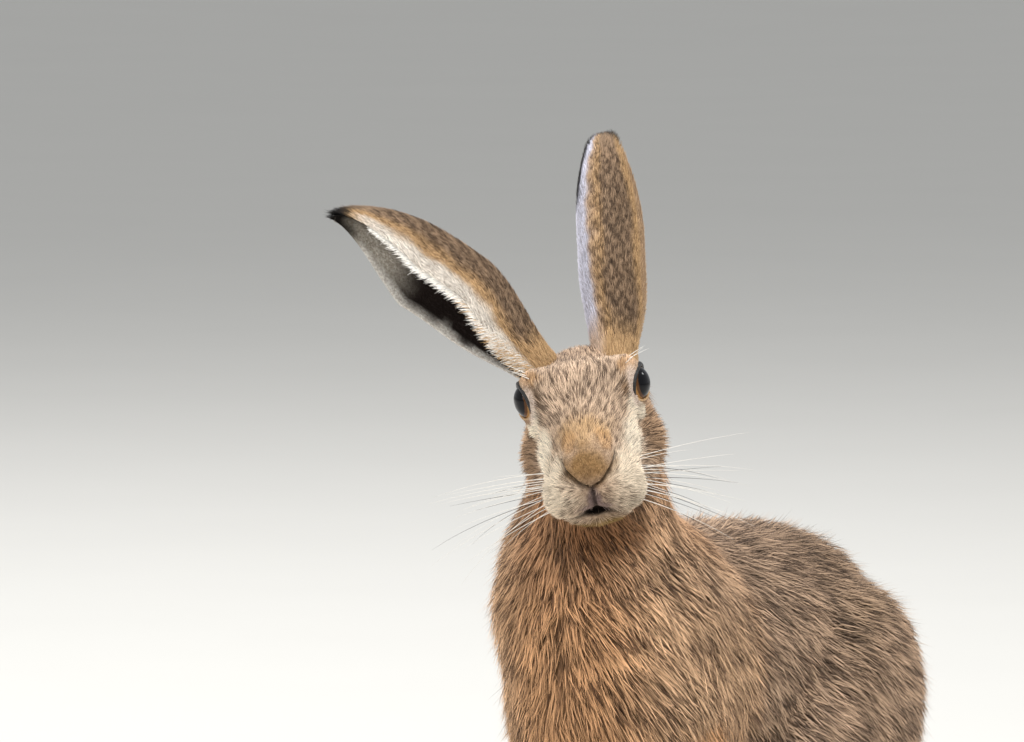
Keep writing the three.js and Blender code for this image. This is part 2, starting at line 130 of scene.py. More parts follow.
# Surfaces and closed forms.
@dataclass
class Surface:
    """Points in millimetres and the faces between them."""

    points: Array
    faces: list[Array]

    def triangles(self) -> Array:
        """Every face as triangles.

        Returns:
            Three corners' numbers for each triangle.
        """
        parts = []
        for faces in self.faces:
            parts += [faces[:, [0, k, k + 1]] for k in range(1, faces.shape[1] - 1)]
        return np.concatenate(parts)

    def normals(self) -> Array:
        """A unit normal for each point, from the faces round it.

        Returns:
            One normal for each point.
        """
        corners = self.triangles()
        a, b, c = (self.points[corners[:, k]] for k in range(3))
        across = np.cross(b - a, c - a)
        total = np.zeros_like(self.points)
        for k in range(3):
            for axis in range(3):
                total[:, axis] += np.bincount(corners[:, k], across[:, axis], len(total))
        return unit(total)

    def edges(self) -> tuple[Array, Array]:
        """The edges, each once in each direction.

        Returns:
            The numbers of the points where they start, and of those where they end.
        """
        corners = self.triangles().astype(np.int64)
        pairs = np.concatenate([corners[:, [0, 1]], corners[:, [1, 2]], corners[:, [2, 0]]])
        pairs = np.concatenate([pairs, pairs[:, ::-1]])
        codes = np.unique(pairs[:, 0] * len(self.points) + pairs[:, 1])
        return codes // len(self.points), codes % len(self.points)

    def face_away_from(self, middles: Array) -> None:
        """Turns the faces round if most of them look towards the surface's own middle.

        Args:
            middles: the middle, or the one that belongs to each point.
        """
        if ((self.normals() * (self.points - middles)).sum(1) < 0).mean() > 0.5:
            self.faces = [f[:, ::-1] for f in self.faces]

    def spread(self, values: Array, rounds: int) -> Array:
        """Evens out values over the surface.

        Args:
            values: one row for each point.
            rounds: how often each point takes half of its neighbours' mean.
        Returns:
            The evened values, in the same shape.
        """
        ends, others = self.edges()
        count = np.bincount(ends, minlength=len(self.points))[:, None]
        rows = values.reshape(len(self.points), -1).astype(float)
        for _ in range(rounds):
            sums = [np.bincount(ends, rows[others, k], len(rows)) for k in range(rows.shape[1])]
            rows = 0.5 * rows + 0.5 * np.stack(sums, 1) / np.maximum(count, 1)
        return rows.reshape(values.shape)

    def largest(self) -> "Surface":
        """The largest connected piece.

        Returns:
            The piece as a surface of its own.
        """
        ends, others = self.edges()
        group = np.arange(len(self.points))
        while True:
            lowest = group.copy()
            np.minimum.at(lowest, ends, group[others])
            lowest = lowest[lowest]
            if (lowest == group).all():
                break
            group = lowest
        keep = group == np.bincount(group).argmax()
        number = np.cumsum(keep) - 1
        return Surface(self.points[keep], [number[f[keep[f[:, 0]]]] for f in self.faces])

    def sample(self, rng: np.random.Generator, density: Array) -> tuple[Array, Array]:
        """Points spread over the surface.

        Args:
            rng: the random draw.
            density: points for each square millimetre, one number for each point of the surface.
        Returns:
            The three corners' indices of each sample's triangle, and their shares in it.
        """
        corners = self.triangles()
        a, b, c = (self.points[corners[:, k]] for k in range(3))
        area = np.linalg.norm(np.cross(b - a, c - a), axis=1) / 2
        wanted = area * density[corners].mean(1)
        count = np.floor(wanted + rng.uniform(size=len(wanted))).astype(int)
        which = np.repeat(corners, count, axis=0)
        u, v = rng.uniform(size=(2, len(which)))
        flip = u + v > 1
        u, v = np.where(flip, 1 - u, u), np.where(flip, 1 - v, v)
        return which, np.stack([1 - u - v, u, v], 1)


def joined(surfaces: Sequence[Surface]) -> Surface:
    """Several surfaces as one list of points and triangles.

    Args:
        surfaces: the surfaces.
    Returns:
        The one surface.
    """
    starts = np.cumsum([0] + [len(s.points) for s in surfaces])
    triangles = [s.triangles() + start for s, start in zip(surfaces, starts)]
    return Surface(np.concatenate([s.points for s in surfaces]), [np.concatenate(triangles)])


def solids(*nodes: str) -> Surface:
    """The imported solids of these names, in millimetres.

    Args:
        nodes: the solids' names.
    Returns:
        Their outsides as one surface.
    """
    found = []
    for node in nodes:
        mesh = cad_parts[node].data
        mesh.calc_loop_triangles()
        points = np.empty(len(mesh.vertices) * 3, np.float32)
        mesh.vertices.foreach_get("co", points)
        corners = np.empty(len(mesh.loop_triangles) * 3, np.int32)
        mesh.loop_triangles.foreach_get("vertices", corners)
        found.append(Surface(points.reshape(-1, 3).astype(float) / MM, [corners.reshape(-1, 3)]))
    return joined(found)


def blend(a: Array, b: Array, size: float) -> Array:
    """Two forms run together, with a fillet of about the given size."""
    h = np.maximum(size - np.abs(a - b), 0) / size
    return np.minimum(a, b) - h * h * size / 4


def carve(a: Array, b: Array, size: float) -> Array:
    """Form a less form b, with the edge rounded by about the given size."""
    return -blend(-a, b, size)


def ball(places: Array, at: Sequence[float], size: Sequence[float]) -> Array:
    """About how far each place is outside an ellipsoid.

    Args:
        places: the places.
        at: the ellipsoid's middle.
        size: its half widths.
    Returns:
        The distances, below 0 inside.
    """
    d = places - np.asarray(at, np.float32)
    near = np.linalg.norm(d / np.asarray(size, np.float32), axis=-1)
    return (near - 1) * min(size)


@dataclass
class Form:
    """A closed form, held as its distance outside the surface at the points of an even grid."""

    low: Array
    step: float
    values: Array

    @classmethod
    def around(cls, surface: Surface, step: float, reach: float) -> "Form":
        """The form whose outside is a closed surface.

        Args:
            surface: the outside.
            step: the grid's spacing.
            reach: how far from the surface the distances are true.
        Returns:
            The form.
        """
        low = np.floor(surface.points.min(0) / step).astype(int) - 4
        size = np.ceil(surface.points.max(0) / step).astype(int) + 5 - low
        grid = openvdb.FloatGrid.createLevelSetFromPolygons(
            surface.points.astype(np.float32),
            triangles=surface.triangles().astype(np.uint32),
            transform=openvdb.createLinearTransform(step),
            halfWidth=reach / step,
        )
        values = np.empty(tuple(size), np.float32)
        grid.copyToArray(values, ijk=tuple(int(i) for i in low))
        return cls(low, step, values)

    @classmethod
    def of_solids(cls, step: float, reach: float, *nodes: str) -> "Form":
        """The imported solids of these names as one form, with the thin gaps between them closed.

        Args:
            step: the grid's spacing.
            reach: how far from the surface the distances are true.
            nodes: the solids' names.
        Returns:
            The form.
        """
        shut = 0.4
        together = cls.around(solids(*nodes), step, 4 * step)
        together.values -= shut
        form = cls.around(together.surface().largest(), step, reach)
        form.values += shut
        return form

    def places(self) -> Array:
        """The grid's points."""
        axes = [(np.arange(n) + low) * self.step for n, low in zip(self.values.shape, self.low)]
        return np.stack(np.meshgrid(*axes, indexing="ij"), -1).astype(np.float32)

    def softened(self, rounds: int) -> Array:
        """The distances with small bumps and edges evened out.

        Args:
            rounds: how often the grid is evened.
        Returns:
            The evened distances.
        """
        values = self.values
        for _ in range(rounds):
            for axis in range(3):
                values = (np.roll(values, 1, axis) + 2 * values + np.roll(values, -1, axis)) / 4
        return values

    def surface(self) -> Surface:
        """The form's outside.

        Returns:
            The outside as a surface.
        """
        grid = openvdb.FloatGrid(float(self.values.max()))
        grid.copyFromArray(np.ascontiguousarray(self.values, np.float32), ijk=tuple(int(i) for i in self.low))
        points, triangles, quads = grid.convertToPolygons(isovalue=0.0, adaptivity=0.0)
        faces = [f.astype(np.int64) for f in (triangles, quads) if len(f)]
        return Surface(points.astype(float) * self.step, faces)

    def at(self, points: Array) -> Array:
        """How far each point is outside the form, as far as its grid reaches.

        Args:
            points: the points.
        Returns:
            The distances, and a metre where the grid ends.
        """
        place = points / self.step - self.low
        cell = np.clip(np.floor(place).astype(int), 0, np.array(self.values.shape) - 2)
        part = np.clip(place - cell, 0, 1)
        total = np.zeros(len(points))
        for corner in np.ndindex(2, 2, 2):
            share = np.prod(np.where(corner, part, 1 - part), axis=1)
            total += share * self.values[tuple((cell + corner).T)]
        outside = ((place < 0) | (place > np.array(self.values.shape) - 1)).any(1)
        return np.where(outside, 1e3, total)


def make_object(name: str, surface: Surface) -> bpy.types.Object:
    """A mesh object of a surface, in metres and smoothly shaded.

    Args:
        name: the object's name.
        surface: its shape in millimetres.
    Returns:
        The object, in the scene.
    """
    corners = np.concatenate([f.ravel() for f in surface.faces]).astype(np.int32)
    sides = np.concatenate([np.full(len(f), f.shape[1]) for f in surface.faces])
    starts = np.concatenate([[0], np.cumsum(sides)[:-1]]).astype(np.int32)
    mesh = bpy.data.meshes.new(name)
    mesh.vertices.add(len(surface.points))
    mesh.vertices.foreach_set("co", (surface.points * MM).astype(np.float32).ravel())
    mesh.loops.add(len(corners))
    mesh.loops.foreach_set("vertex_index", corners)
    mesh.polygons.add(len(sides))
    mesh.polygons.foreach_set("loop_start", starts)
    mesh.update(calc_edges=True)
    mesh.shade_smooth()
    made = bpy.data.objects.new(name, mesh)
    bpy.context.scene.collection.objects.link(made)
    return made


def set_values(mesh: bpy.types.Mesh, name: str, values: Array) -> None:
    """Puts one number, or one colour, on each point of a mesh.

    Args:
        mesh: the mesh.
        name: the values' name.
        values: one number or one colour for each point.
    """
    if values.ndim == 1:
        layer = mesh.attributes.new(name, "FLOAT", "POINT")
        layer.data.foreach_set("value", values.astype(np.float32))
        return
    layer = mesh.attributes.new(name, "FLOAT_COLOR", "POINT")
    full = np.ones((len(values), 4), np.float32)
    full[:, :3] = values
    layer.data.foreach_set("color", full.ravel())


# Materials.
class Tree:
    """A node tree and short ways to add to it."""

    def __init__(self, tree: bpy.types.NodeTree) -> None:
        """Takes the tree to build in."""
        self.tree = tree

    def add(self, kind: str, **settings: object) -> bpy.types.Node:
        """A new node, with its settings, and its inputs by name where a name fits one.

        Args:
            kind: the node's type.
            settings: properties of the node, or its inputs with spaces written as underscores.
        Returns:
            The node.
        """
        node = self.tree.nodes.new(kind)
        for key, value in settings.items():
            if hasattr(node, key):
                setattr(node, key, value)
            else:
                self.put(node.inputs[key.replace("_", " ")], value)
        return node

    def put(self, socket: bpy.types.NodeSocket, value: object) -> None:
        """Gives an input its value.

        Args:
            socket: the input.
            value: the value, or the socket that gives it.
        """
        if isinstance(value, bpy.types.NodeSocket):
            self.tree.links.new(value, socket)
        else:
            socket.default_value = value

    def attribute(self, name: str) -> bpy.types.Node:
        """What the mesh's points carry under a name."""
        return self.add("ShaderNodeAttribute", attribute_name=name)

    def math(self, operation: str, *values: object) -> bpy.types.NodeSocket:
        """A number worked out from others.

        Args:
            operation: what is worked out.
            values: numbers, or the sockets that give them.
        Returns:
            The socket of the result.
        """
        node = self.tree.nodes.new("ShaderNodeMath")
        node.operation = operation
        self.fill(node, values)
        return node.outputs[0]

    def vector(self, operation: str, *values: object) -> bpy.types.NodeSocket:
        """A vector worked out from others.

        Args:
            operation: what is worked out.
            values: vectors, or the sockets that give them.
        Returns:
            The socket of the result.
        """
        node = self.tree.nodes.new("ShaderNodeVectorMath")
        node.operation = operation
        self.fill(node, values)
        return node.outputs[0]

    def fill(self, node: bpy.types.Node, values: Sequence[object]) -> None:
        """Gives a node's inputs their values in turn."""
        for socket, value in zip(node.inputs, values):
            self.put(socket, value)

    def ramp(self, value: bpy.types.NodeSocket, low: float, high: float) -> bpy.types.NodeSocket:
        """0 to 1 as a number goes from low to high, eased at both ends.

        Args:
            value: the socket of the number.
            low: where the result is 0.
            high: where it is 1.
        Returns:
            The socket of the result.
        """
        node = self.add("ShaderNodeMapRange", interpolation_type="SMOOTHSTEP", From_Min=low, From_Max=high)
        self.put(node.inputs["Value"], value)
        return node.outputs["Result"]

    def mixed(self, share: object, a: object, b: object) -> bpy.types.NodeSocket:
        """Two colours mixed by a share.

        Args:
            share: how much of the second shows, or the socket that gives it.
            a: the first colour, or its socket.
            b: the second colour, or its socket.
        Returns:
            The socket of the mixed colour.
        """
        node = self.tree.nodes.new("ShaderNodeMix")
        node.data_type = "RGBA"
        for key, value in (("Factor_Float", share), ("A_Color", a), ("B_Color", b)):
            self.put(next(s for s in node.inputs if s.identifier == key), value)
        return next(s for s in node.outputs if s.identifier == "Result_Color")


def group(name: str, inputs: dict[str, tuple[str, object]], outputs: dict[str, str]) -> tuple[Tree, ...]:
    """A new shader node group.

    Args:
        name: the group's name.
        inputs: for each input, its socket type and its default.
        outputs: for each output, its socket type.
    Returns:
        The tree to build in, its input node and its output node.
    """
    tree = bpy.data.node_groups.new(name, "ShaderNodeTree")
    for key, (kind, default) in inputs.items():
        socket = tree.interface.new_socket(key, in_out="INPUT", socket_type=kind)
        if default is not None:
            socket.default_value = default
    for key, kind in outputs.items():
        tree.interface.new_socket(key, in_out="OUTPUT", socket_type=kind)
    return Tree(tree), tree.nodes.new("NodeGroupInput"), tree.nodes.new("NodeGroupOutput")


def hair_colour_group() -> bpy.types.NodeTree:
    """Along each hair: a root darkened as painted shade, the coat's own colour, and a dark or pale tip where
    it is ticked.

    Returns:
        The group's tree.
    """
    tree, inside, out = group(
        "hair_colour",
        {
            "Markings": ("NodeSocketColor", (0.5, 0.4, 0.3, 1)),
            "Along": ("NodeSocketFloat", 0.5),
            "Tick": ("NodeSocketFloat", 0.0),
            "Root": ("NodeSocketFloat", 0.4),
        },
        {"Color": "NodeSocketColor"},
    )
    marks, along, tick = (inside.outputs[k] for k in ("Markings", "Along", "Tick"))
    # painted shade: the root is the coat's colour times Root, for the shade deep among the hairs
    shaded_root = tree.vector("SCALE", marks)
    tree.put(shaded_root.node.inputs["Scale"], inside.outputs["Root"])
    plain = tree.mixed(tree.ramp(along, 0.0, 0.6), shaded_root, marks)
    dark = tree.vector("MULTIPLY", marks, (0.1, 0.08, 0.075))
    darkness = tree.math("MULTIPLY", tree.ramp(along, 0.1, 0.45), tree.math("MAXIMUM", tick, 0.0))
    ticked = tree.mixed(darkness, plain, dark)
    pale = tree.vector("MULTIPLY_ADD", marks, (1.4, 1.42, 1.48), (0.015, 0.013, 0.01))
    paleness = tree.math("MAXIMUM", tree.math("MULTIPLY", tick, -1.0), 0.0)
    share = tree.math("MULTIPLY", tree.ramp(along, 0.4, 0.85), paleness)
    tree.put(out.inputs["Color"], tree.mixed(share, ticked, pale))
    return tree.tree


def underfur_group() -> bpy.types.NodeTree:
    """Short fur on the skin itself: fine flecks of dark and pale, and a height to match.

    Returns:
        The group's tree.
    """
    tree, inside, out = group(
        "underfur",
        {
            "Markings": ("NodeSocketColor", (0.5, 0.4, 0.3, 1)),
            "Shade": ("NodeSocketFloat", 0.7),
            "Fineness": ("NodeSocketFloat", 900.0),
        },
        {"Color": "NodeSocketColor", "Height": "NodeSocketFloat"},
    )
    place = tree.add("ShaderNodeTexCoord").outputs["Object"]
    noise = tree.add("ShaderNodeTexNoise", Detail=4.0, Roughness=0.65, Vector=place)
    tree.put(noise.inputs["Scale"], inside.outputs["Fineness"])
    fleck = noise.outputs["Fac"]
    shaded = tree.vector("SCALE", inside.outputs["Markings"])
    tree.put(shaded.node.inputs["Scale"], inside.outputs["Shade"])
    dark = tree.vector("MULTIPLY", shaded, (0.66, 0.62, 0.6))
    tree.put(out.inputs["Color"], tree.mixed(tree.ramp(fleck, 0.38, 0.62), dark, shaded))
    tree.put(out.inputs["Height"], fleck)
    return tree.tree


def iris_group() -> bpy.types.NodeTree:
    """Pupil, iris and the amber edge, by how far a point looks away from the line of sight.

    Returns:
        The group's tree.
    """
    tree, inside, out = group(
        "iris_rings",
        {
            "Sight": ("NodeSocketFloat", 1.0),
            "Pupil": ("NodeSocketColor", (0.002, 0.002, 0.003, 1)),
            "Iris": ("NodeSocketColor", (0.09, 0.035, 0.01, 1)),
            "Rim": ("NodeSocketColor", (0.36, 0.18, 0.05, 1)),
            "White": ("NodeSocketColor", (0.03, 0.012, 0.008, 1)),
        },
        {"Color": "NodeSocketColor"},
    )
    place = tree.add("ShaderNodeTexCoord").outputs["Object"]
    streak = tree.add("ShaderNodeTexNoise", Scale=700.0, Detail=3.0, Vector=place).outputs["Fac"]
    sight = tree.math("MULTIPLY_ADD", tree.math("SUBTRACT", streak, 0.5), 0.05, inside.outputs["Sight"])
    found = inside.outputs["White"]
    for ring, start in (("Rim", 0.3), ("Iris", 0.68), ("Pupil", 0.77)):
        found = tree.mixed(tree.ramp(sight, start - 0.02, start + 0.03), found, inside.outputs[ring])
    tree.put(out.inputs["Color"], found)
    return tree.tree


@dataclass(frozen=True)
class Finish:
    """What every finish has: a name, how rough it is and how it shines."""

    name: str
    roughness: float = 0.6
    specular: float = 0.4
    sheen: float = 0.0
    coat: float = 0.0

    def start(self) -> tuple[bpy.types.Material, Tree, bpy.types.Node]:
        """A new material with its shader set from the finish.

        Returns:
            The material, its tree and its shader node.
        """
        material = bpy.data.materials.new(self.name)
        material.use_nodes = True
        material.node_tree.nodes.clear()
        tree = Tree(material.node_tree)
        shader = tree.add("ShaderNodeBsdfPrincipled", Roughness=self.roughness, Sheen_Weight=self.sheen)
        shader.inputs["Specular IOR Level"].default_value = self.specular
        shader.inputs["Sheen Roughness"].default_value = 0.45
        shader.inputs["Coat Weight"].default_value = self.coat
        shader.inputs["Coat Roughness"].default_value = 0.02
        output = tree.add("ShaderNodeOutputMaterial")
        tree.put(output.inputs["Surface"], shader.outputs[0])
        return material, tree, shader

    def bumped(self, tree: Tree, shader: bpy.types.Node, height: bpy.types.NodeSocket, depth: float) -> None:
        """Gives the shader a bump of the given depth in metres."""
        bump = tree.add("ShaderNodeBump", Distance=depth, Height=height)
        tree.put(shader.inputs["Normal"], bump.outputs["Normal"])


@dataclass(frozen=True)
class HairFinish(Finish):
    """Hair, coloured by what its tufts carry."""

    # how bright the hairs' roots stay; the darkening is painted shade deep in the coat
    root: float = 0.4

    def build(self) -> bpy.types.Material:
        """Builds the material.

        Returns:
            The material.
        """
        material, tree, shader = self.start()
        node = tree.add("ShaderNodeGroup", node_tree=bpy.data.node_groups["hair_colour"], Root=self.root)
        tree.put(node.inputs["Markings"], tree.attribute("markings").outputs["Color"])
        tree.put(node.inputs["Along"], tree.attribute("along").outputs["Fac"])
        tree.put(node.inputs["Tick"], tree.attribute("tick").outputs["Fac"])
        tree.put(shader.inputs["Base Color"], node.outputs["Color"])
        return material


@dataclass(frozen=True)
class SkinFinish(Finish):
    """The skin under the coat, flecked as short fur is."""

    shade: float = 0.7

    def build(self) -> bpy.types.Material:
        """Builds the material.

        Returns:
            The material.
        """
        material, tree, shader = self.start()
        node = tree.add("ShaderNodeGroup", node_tree=bpy.data.node_groups["underfur"], Shade=self.shade)
        tree.put(node.inputs["Markings"], tree.attribute("markings").outputs["Color"])
        tree.put(shader.inputs["Base Color"], node.outputs["Color"])
        self.bumped(tree, shader, node.outputs["Height"], 0.0006)
        return material


@dataclass(frozen=True)
class EyeFinish(Finish):
    """A wet eye: a black pupil in a brown iris with an amber edge."""

    def build(self) -> bpy.types.Material:
        """Builds the material.

        Returns:
            The material.
        """
        material, tree, shader = self.start()
        node = tree.add("ShaderNodeGroup", node_tree=bpy.data.node_groups["iris_rings"])
        tree.put(node.inputs["Sight"], tree.attribute("sight").outputs["Fac"])
        tree.put(shader.inputs["Base Color"], node.outputs["Color"])
        return material


@dataclass(frozen=True)
class HornFinish(Finish):
    """Dark horn with fine streaks."""

    dark: str = "2b211a"
    light: str = "6b5642"

    def build(self) -> bpy.types.Material:
        """Builds the material.

        Returns:
            The material.
        """
        material, tree, shader = self.start()
        place = tree.add("ShaderNodeTexCoord").outputs["Object"]
        stretched = tree.vector("MULTIPLY", place, (2400.0, 300.0, 2400.0))
        noise = tree.add("ShaderNodeTexNoise", Scale=1.0, Detail=3.0, Vector=stretched).outputs["Fac"]
        a, b = ((*colour(code), 1.0) for code in (self.dark, self.light))
        tree.put(shader.inputs["Base Color"], tree.mixed(tree.ramp(noise, 0.35, 0.7), a, b))
        self.bumped(tree, shader, noise, 0.0001)
        return material


@dataclass(frozen=True)
class FloorFinish(Finish):
    """A plain pale floor with the faintest mottling."""

    pale: str = "d3d1cc"

    def build(self) -> bpy.types.Material:
        """Builds the material.

        Returns:
            The material.
        """
        material, tree, shader = self.start()
        place = tree.add("ShaderNodeTexCoord").outputs["Object"]
        noise = tree.add("ShaderNodeTexNoise", Scale=6.0, Detail=2.0, Vector=place).outputs["Fac"]
        base = (*colour(self.pale), 1.0)
        shade = tuple(0.97 * x for x in base)
        tree.put(shader.inputs["Base Color"], tree.mixed(noise, base, shade))
        return material


# The head's place.
@dataclass(frozen=True)
class HeadPlace:
    """Where the head's own axes lie: the point between the eyes, and the head's turn from straight ahead."""

    middle: tuple[float, float, float]
    yaw: float = 25.0
    pitch: float = 14.0
    roll: float = 9.9

    @classmethod
    def found(cls) -> "HeadPlace":
        """The place, with its middle read off the eyes' solids."""
        corners = [np.array(c) / MM for side in ("left", "right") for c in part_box(f"eye_{side}")]
        return cls(tuple(np.mean(corners, axis=0)))

    def axes(self) -> Array:
        """The head's x, y and z axes as the columns of a matrix."""
        turn = rotation("Z", self.yaw) @ rotation("X", self.pitch) @ rotation("Y", -self.roll)
        return turn @ np.diag([1.0, -1.0, 1.0])

    def to_head(self, points: Array) -> Array:
        """Points of the model in the head's axes."""
        return (points - np.array(self.middle, points.dtype)) @ self.axes().astype(points.dtype)

    def from_head(self, points: Array) -> Array:
        """Points of the head's axes in the model."""
        return points @ self.axes().T + np.array(self.middle)


# Markings.
class Tone(enum.Enum):
    """The coat's colours; some of them carry painted shade and painted sky light as well."""

    SAND = "d3b69a"
    BUFF = "c9a272"
    PALE = "ecdac0"
    CREAM = "efe0c8"
    WHITE = "f1ebe1"
    OCHRE = "bb8a50"
    TAN = "a27a45"
    # the chin's yellowish cream, darkened as painted shade
    SHADED_OLIVE = "84693c"
    UMBER = "8f6d4c"
    RUFOUS = "c4936a"
    ORANGE = "d6a274"
    FAWN = "d8b18c"
    GREY = "bb9c80"
    BROWN = "a3876c"
    ASH = "d2c9ba"
    MAUVE = "96807a"
    # painted shadow for the throat under the chin
    SHADE = "7a4f2c"
    PINK = "f2dccb"
    # pale grey-white with a bluish tint that is painted sky light
    SKY_TINTED_PALE = "dddbe8"
    SOOT = "2a211d"
    BLACK = "15100e"

    def linear(self) -> Array:
        """The colour as linear red, green and blue."""
        return colour(self.value)


@dataclass(frozen=True)
class Patch:
    """A soft-edged marking on the head, alike on both sides; a few of them are painted shade."""

    at: tuple[float, float, float]
    size: tuple[float, float, float]
    tone: Tone
    strength: float = 1.0
    dark: float = 0.1

    def share(self, places: Array) -> Array:
        """How much of the marking shows at each place of the head's axes.

        Args:
            places: the places.
        Returns:
            The share, from 0 to the strength.
        """
        folded = np.stack([np.abs(places[:, 0]), places[:, 1], places[:, 2]], 1)
        near = np.linalg.norm((folded - self.at) / self.size, axis=1)
        return self.strength * smoothstep(1.25, 0.65, near)


FACE_PATCHES = (
    Patch((30, 0, -22), (13, 20, 20), Tone.UMBER, 0.75, 0.4),
    Patch((30, -20, -28), (16, 18, 20), Tone.FAWN, 0.6, 0.3),
    Patch((0, -22, 14), (26, 20, 16), Tone.GREY, 0.55, 0.5),
    Patch((0, 34, -10), (12, 16, 10), Tone.BUFF, 0.8, 0.1),
    Patch((20.5, 10, -7), (4.5, 9, 9), Tone.CREAM, 0.9, 0.04),
    Patch((19, 27, -17), (5.5, 13, 10), Tone.CREAM, 0.9, 0.06),
    Patch((14, 46, -28), (14, 15, 14), Tone.PALE, 0.95, 0.05),
    Patch((9, 45, -7), (4.5, 7, 4.5), Tone.OCHRE, 0.55, 0.15),
    Patch((0, 52, -16), (11.5, 12, 9), Tone.TAN, 0.85, 0.3),
    Patch((0, 58, -20), (5, 6, 4.5), Tone.UMBER, 0.35, 0.4),
    # the chin: yellowish cream, darkened as painted shade under the jaw
    Patch((0, 42, -48), (16, 20, 8), Tone.SHADED_OLIVE, 1.0, 0.08),
    Patch((0, 12, -50), (20, 22, 10), Tone.PALE, 0.7, 0.05),
    Patch((20.5, 8, 11), (4, 6, 4), Tone.OCHRE, 0.6, 0.15),
    Patch((24, 4, 13), (3, 10, 4), Tone.FAWN, 0.9, 0.05),
    Patch((24, 11, 1), (4, 5, 9), Tone.PINK, 0.85, 0.02),
    Patch((24.5, 6, -11), (4.5, 6, 3.5), Tone.CREAM, 0.9, 0.02),
    Patch((24, -13, 0), (6, 6, 10), Tone.PALE, 0.7, 0.1),
    Patch((18.2, 14, 1), (1.6, 4, 5), Tone.UMBER, 0.8, 0.6),
)
NECK_PATCHES = (
    # painted shadow on the throat under the chin
    Patch((0, 14, -62), (30, 28, 14), Tone.SHADE, 0.8, 0.15),
    Patch((0, -46, -18), (36, 26, 34), Tone.UMBER, 0.75, 0.35),
)
BARE_PATCHES = (
    Patch((0, 58, -30), (3.6, 8, 5.5), Tone.MAUVE, 1.0),
    Patch((3.5, 57, -34), (4, 6, 1.8), Tone.MAUVE, 0.9),
    # painted shade in the mouth's gap
    Patch((0, 54, -37), (7.2, 8, 2.4), Tone.SOOT, 1.0),
)


@dataclass(frozen=True)
class Growth:
    """The coat on one part: the tufts' length, width, rise at root and tip, closeness, way and colour."""

    length: float
    width: float
    lift: float
    lay: float
    close: float
    way: tuple[float, float, float]
    tone: Tone
    dark: float


class Region(enum.Enum):
    """The parts of the body and the coat of each."""

    NECK = Growth(12, 0.72, 44, 16, 0.62, (0, 0.3, -1), Tone.RUFOUS, 0.2)
    CHEST = Growth(17, 0.8, 44, 14, 0.5, (0, 0.4, -1), Tone.ORANGE, 0.24)
    BARREL = Growth(18, 0.8, 42, 12, 0.44, (0, 0.9, -0.85), Tone.GREY, 0.44)
    RUMP = Growth(18, 0.8, 42, 12, 0.44, (0, 0.9, -0.95), Tone.BROWN, 0.48)
    THIGH = Growth(16, 0.8, 40, 12, 0.44, (0, 0.7, -0.85), Tone.GREY, 0.36)
    SHANK = Growth(9, 0.8, 30, 8, 0.7, (0, 1, -0.25), Tone.BUFF, 0.1)
    HIND_FOOT = Growth(6, 0.7, 26, 6, 1.0, (0, -1, -0.1), Tone.BUFF, 0.05)
    FORELEG = Growth(8, 0.75, 28, 8, 0.9, (0, -0.45, -1), Tone.ORANGE, 0.07)
    FOREPAW = Growth(5, 0.65, 26, 6, 1.2, (0, -1, -0.5), Tone.BUFF, 0.05)
    TAIL = Growth(15, 0.9, 34, 14, 0.9, (0, 0.45, -1), Tone.WHITE, 0.02)

    def nodes(self) -> list[str]:
        """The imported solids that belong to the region."""
        key = self.name.lower()
        return [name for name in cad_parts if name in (key, f"{key}_left", f"{key}_right")]


# The body and the head under the coat.
@dataclass
class Skin:
    """Bare flesh with what the coat needs to know at each of its points."""

    surface: Surface
    lie: Array
    tone: Array
    dark: Array
    length: Array
    width: Array
    lift: Array
    lay: Array
    close: Array

    def columns(self) -> Array:
        """What the coat needs, as one row for each point."""
        singles = (self.dark, self.length, self.width, self.lift, self.lay, self.close)
        return np.concatenate([self.lie, self.tone, *(x[:, None] for x in singles)], 1)


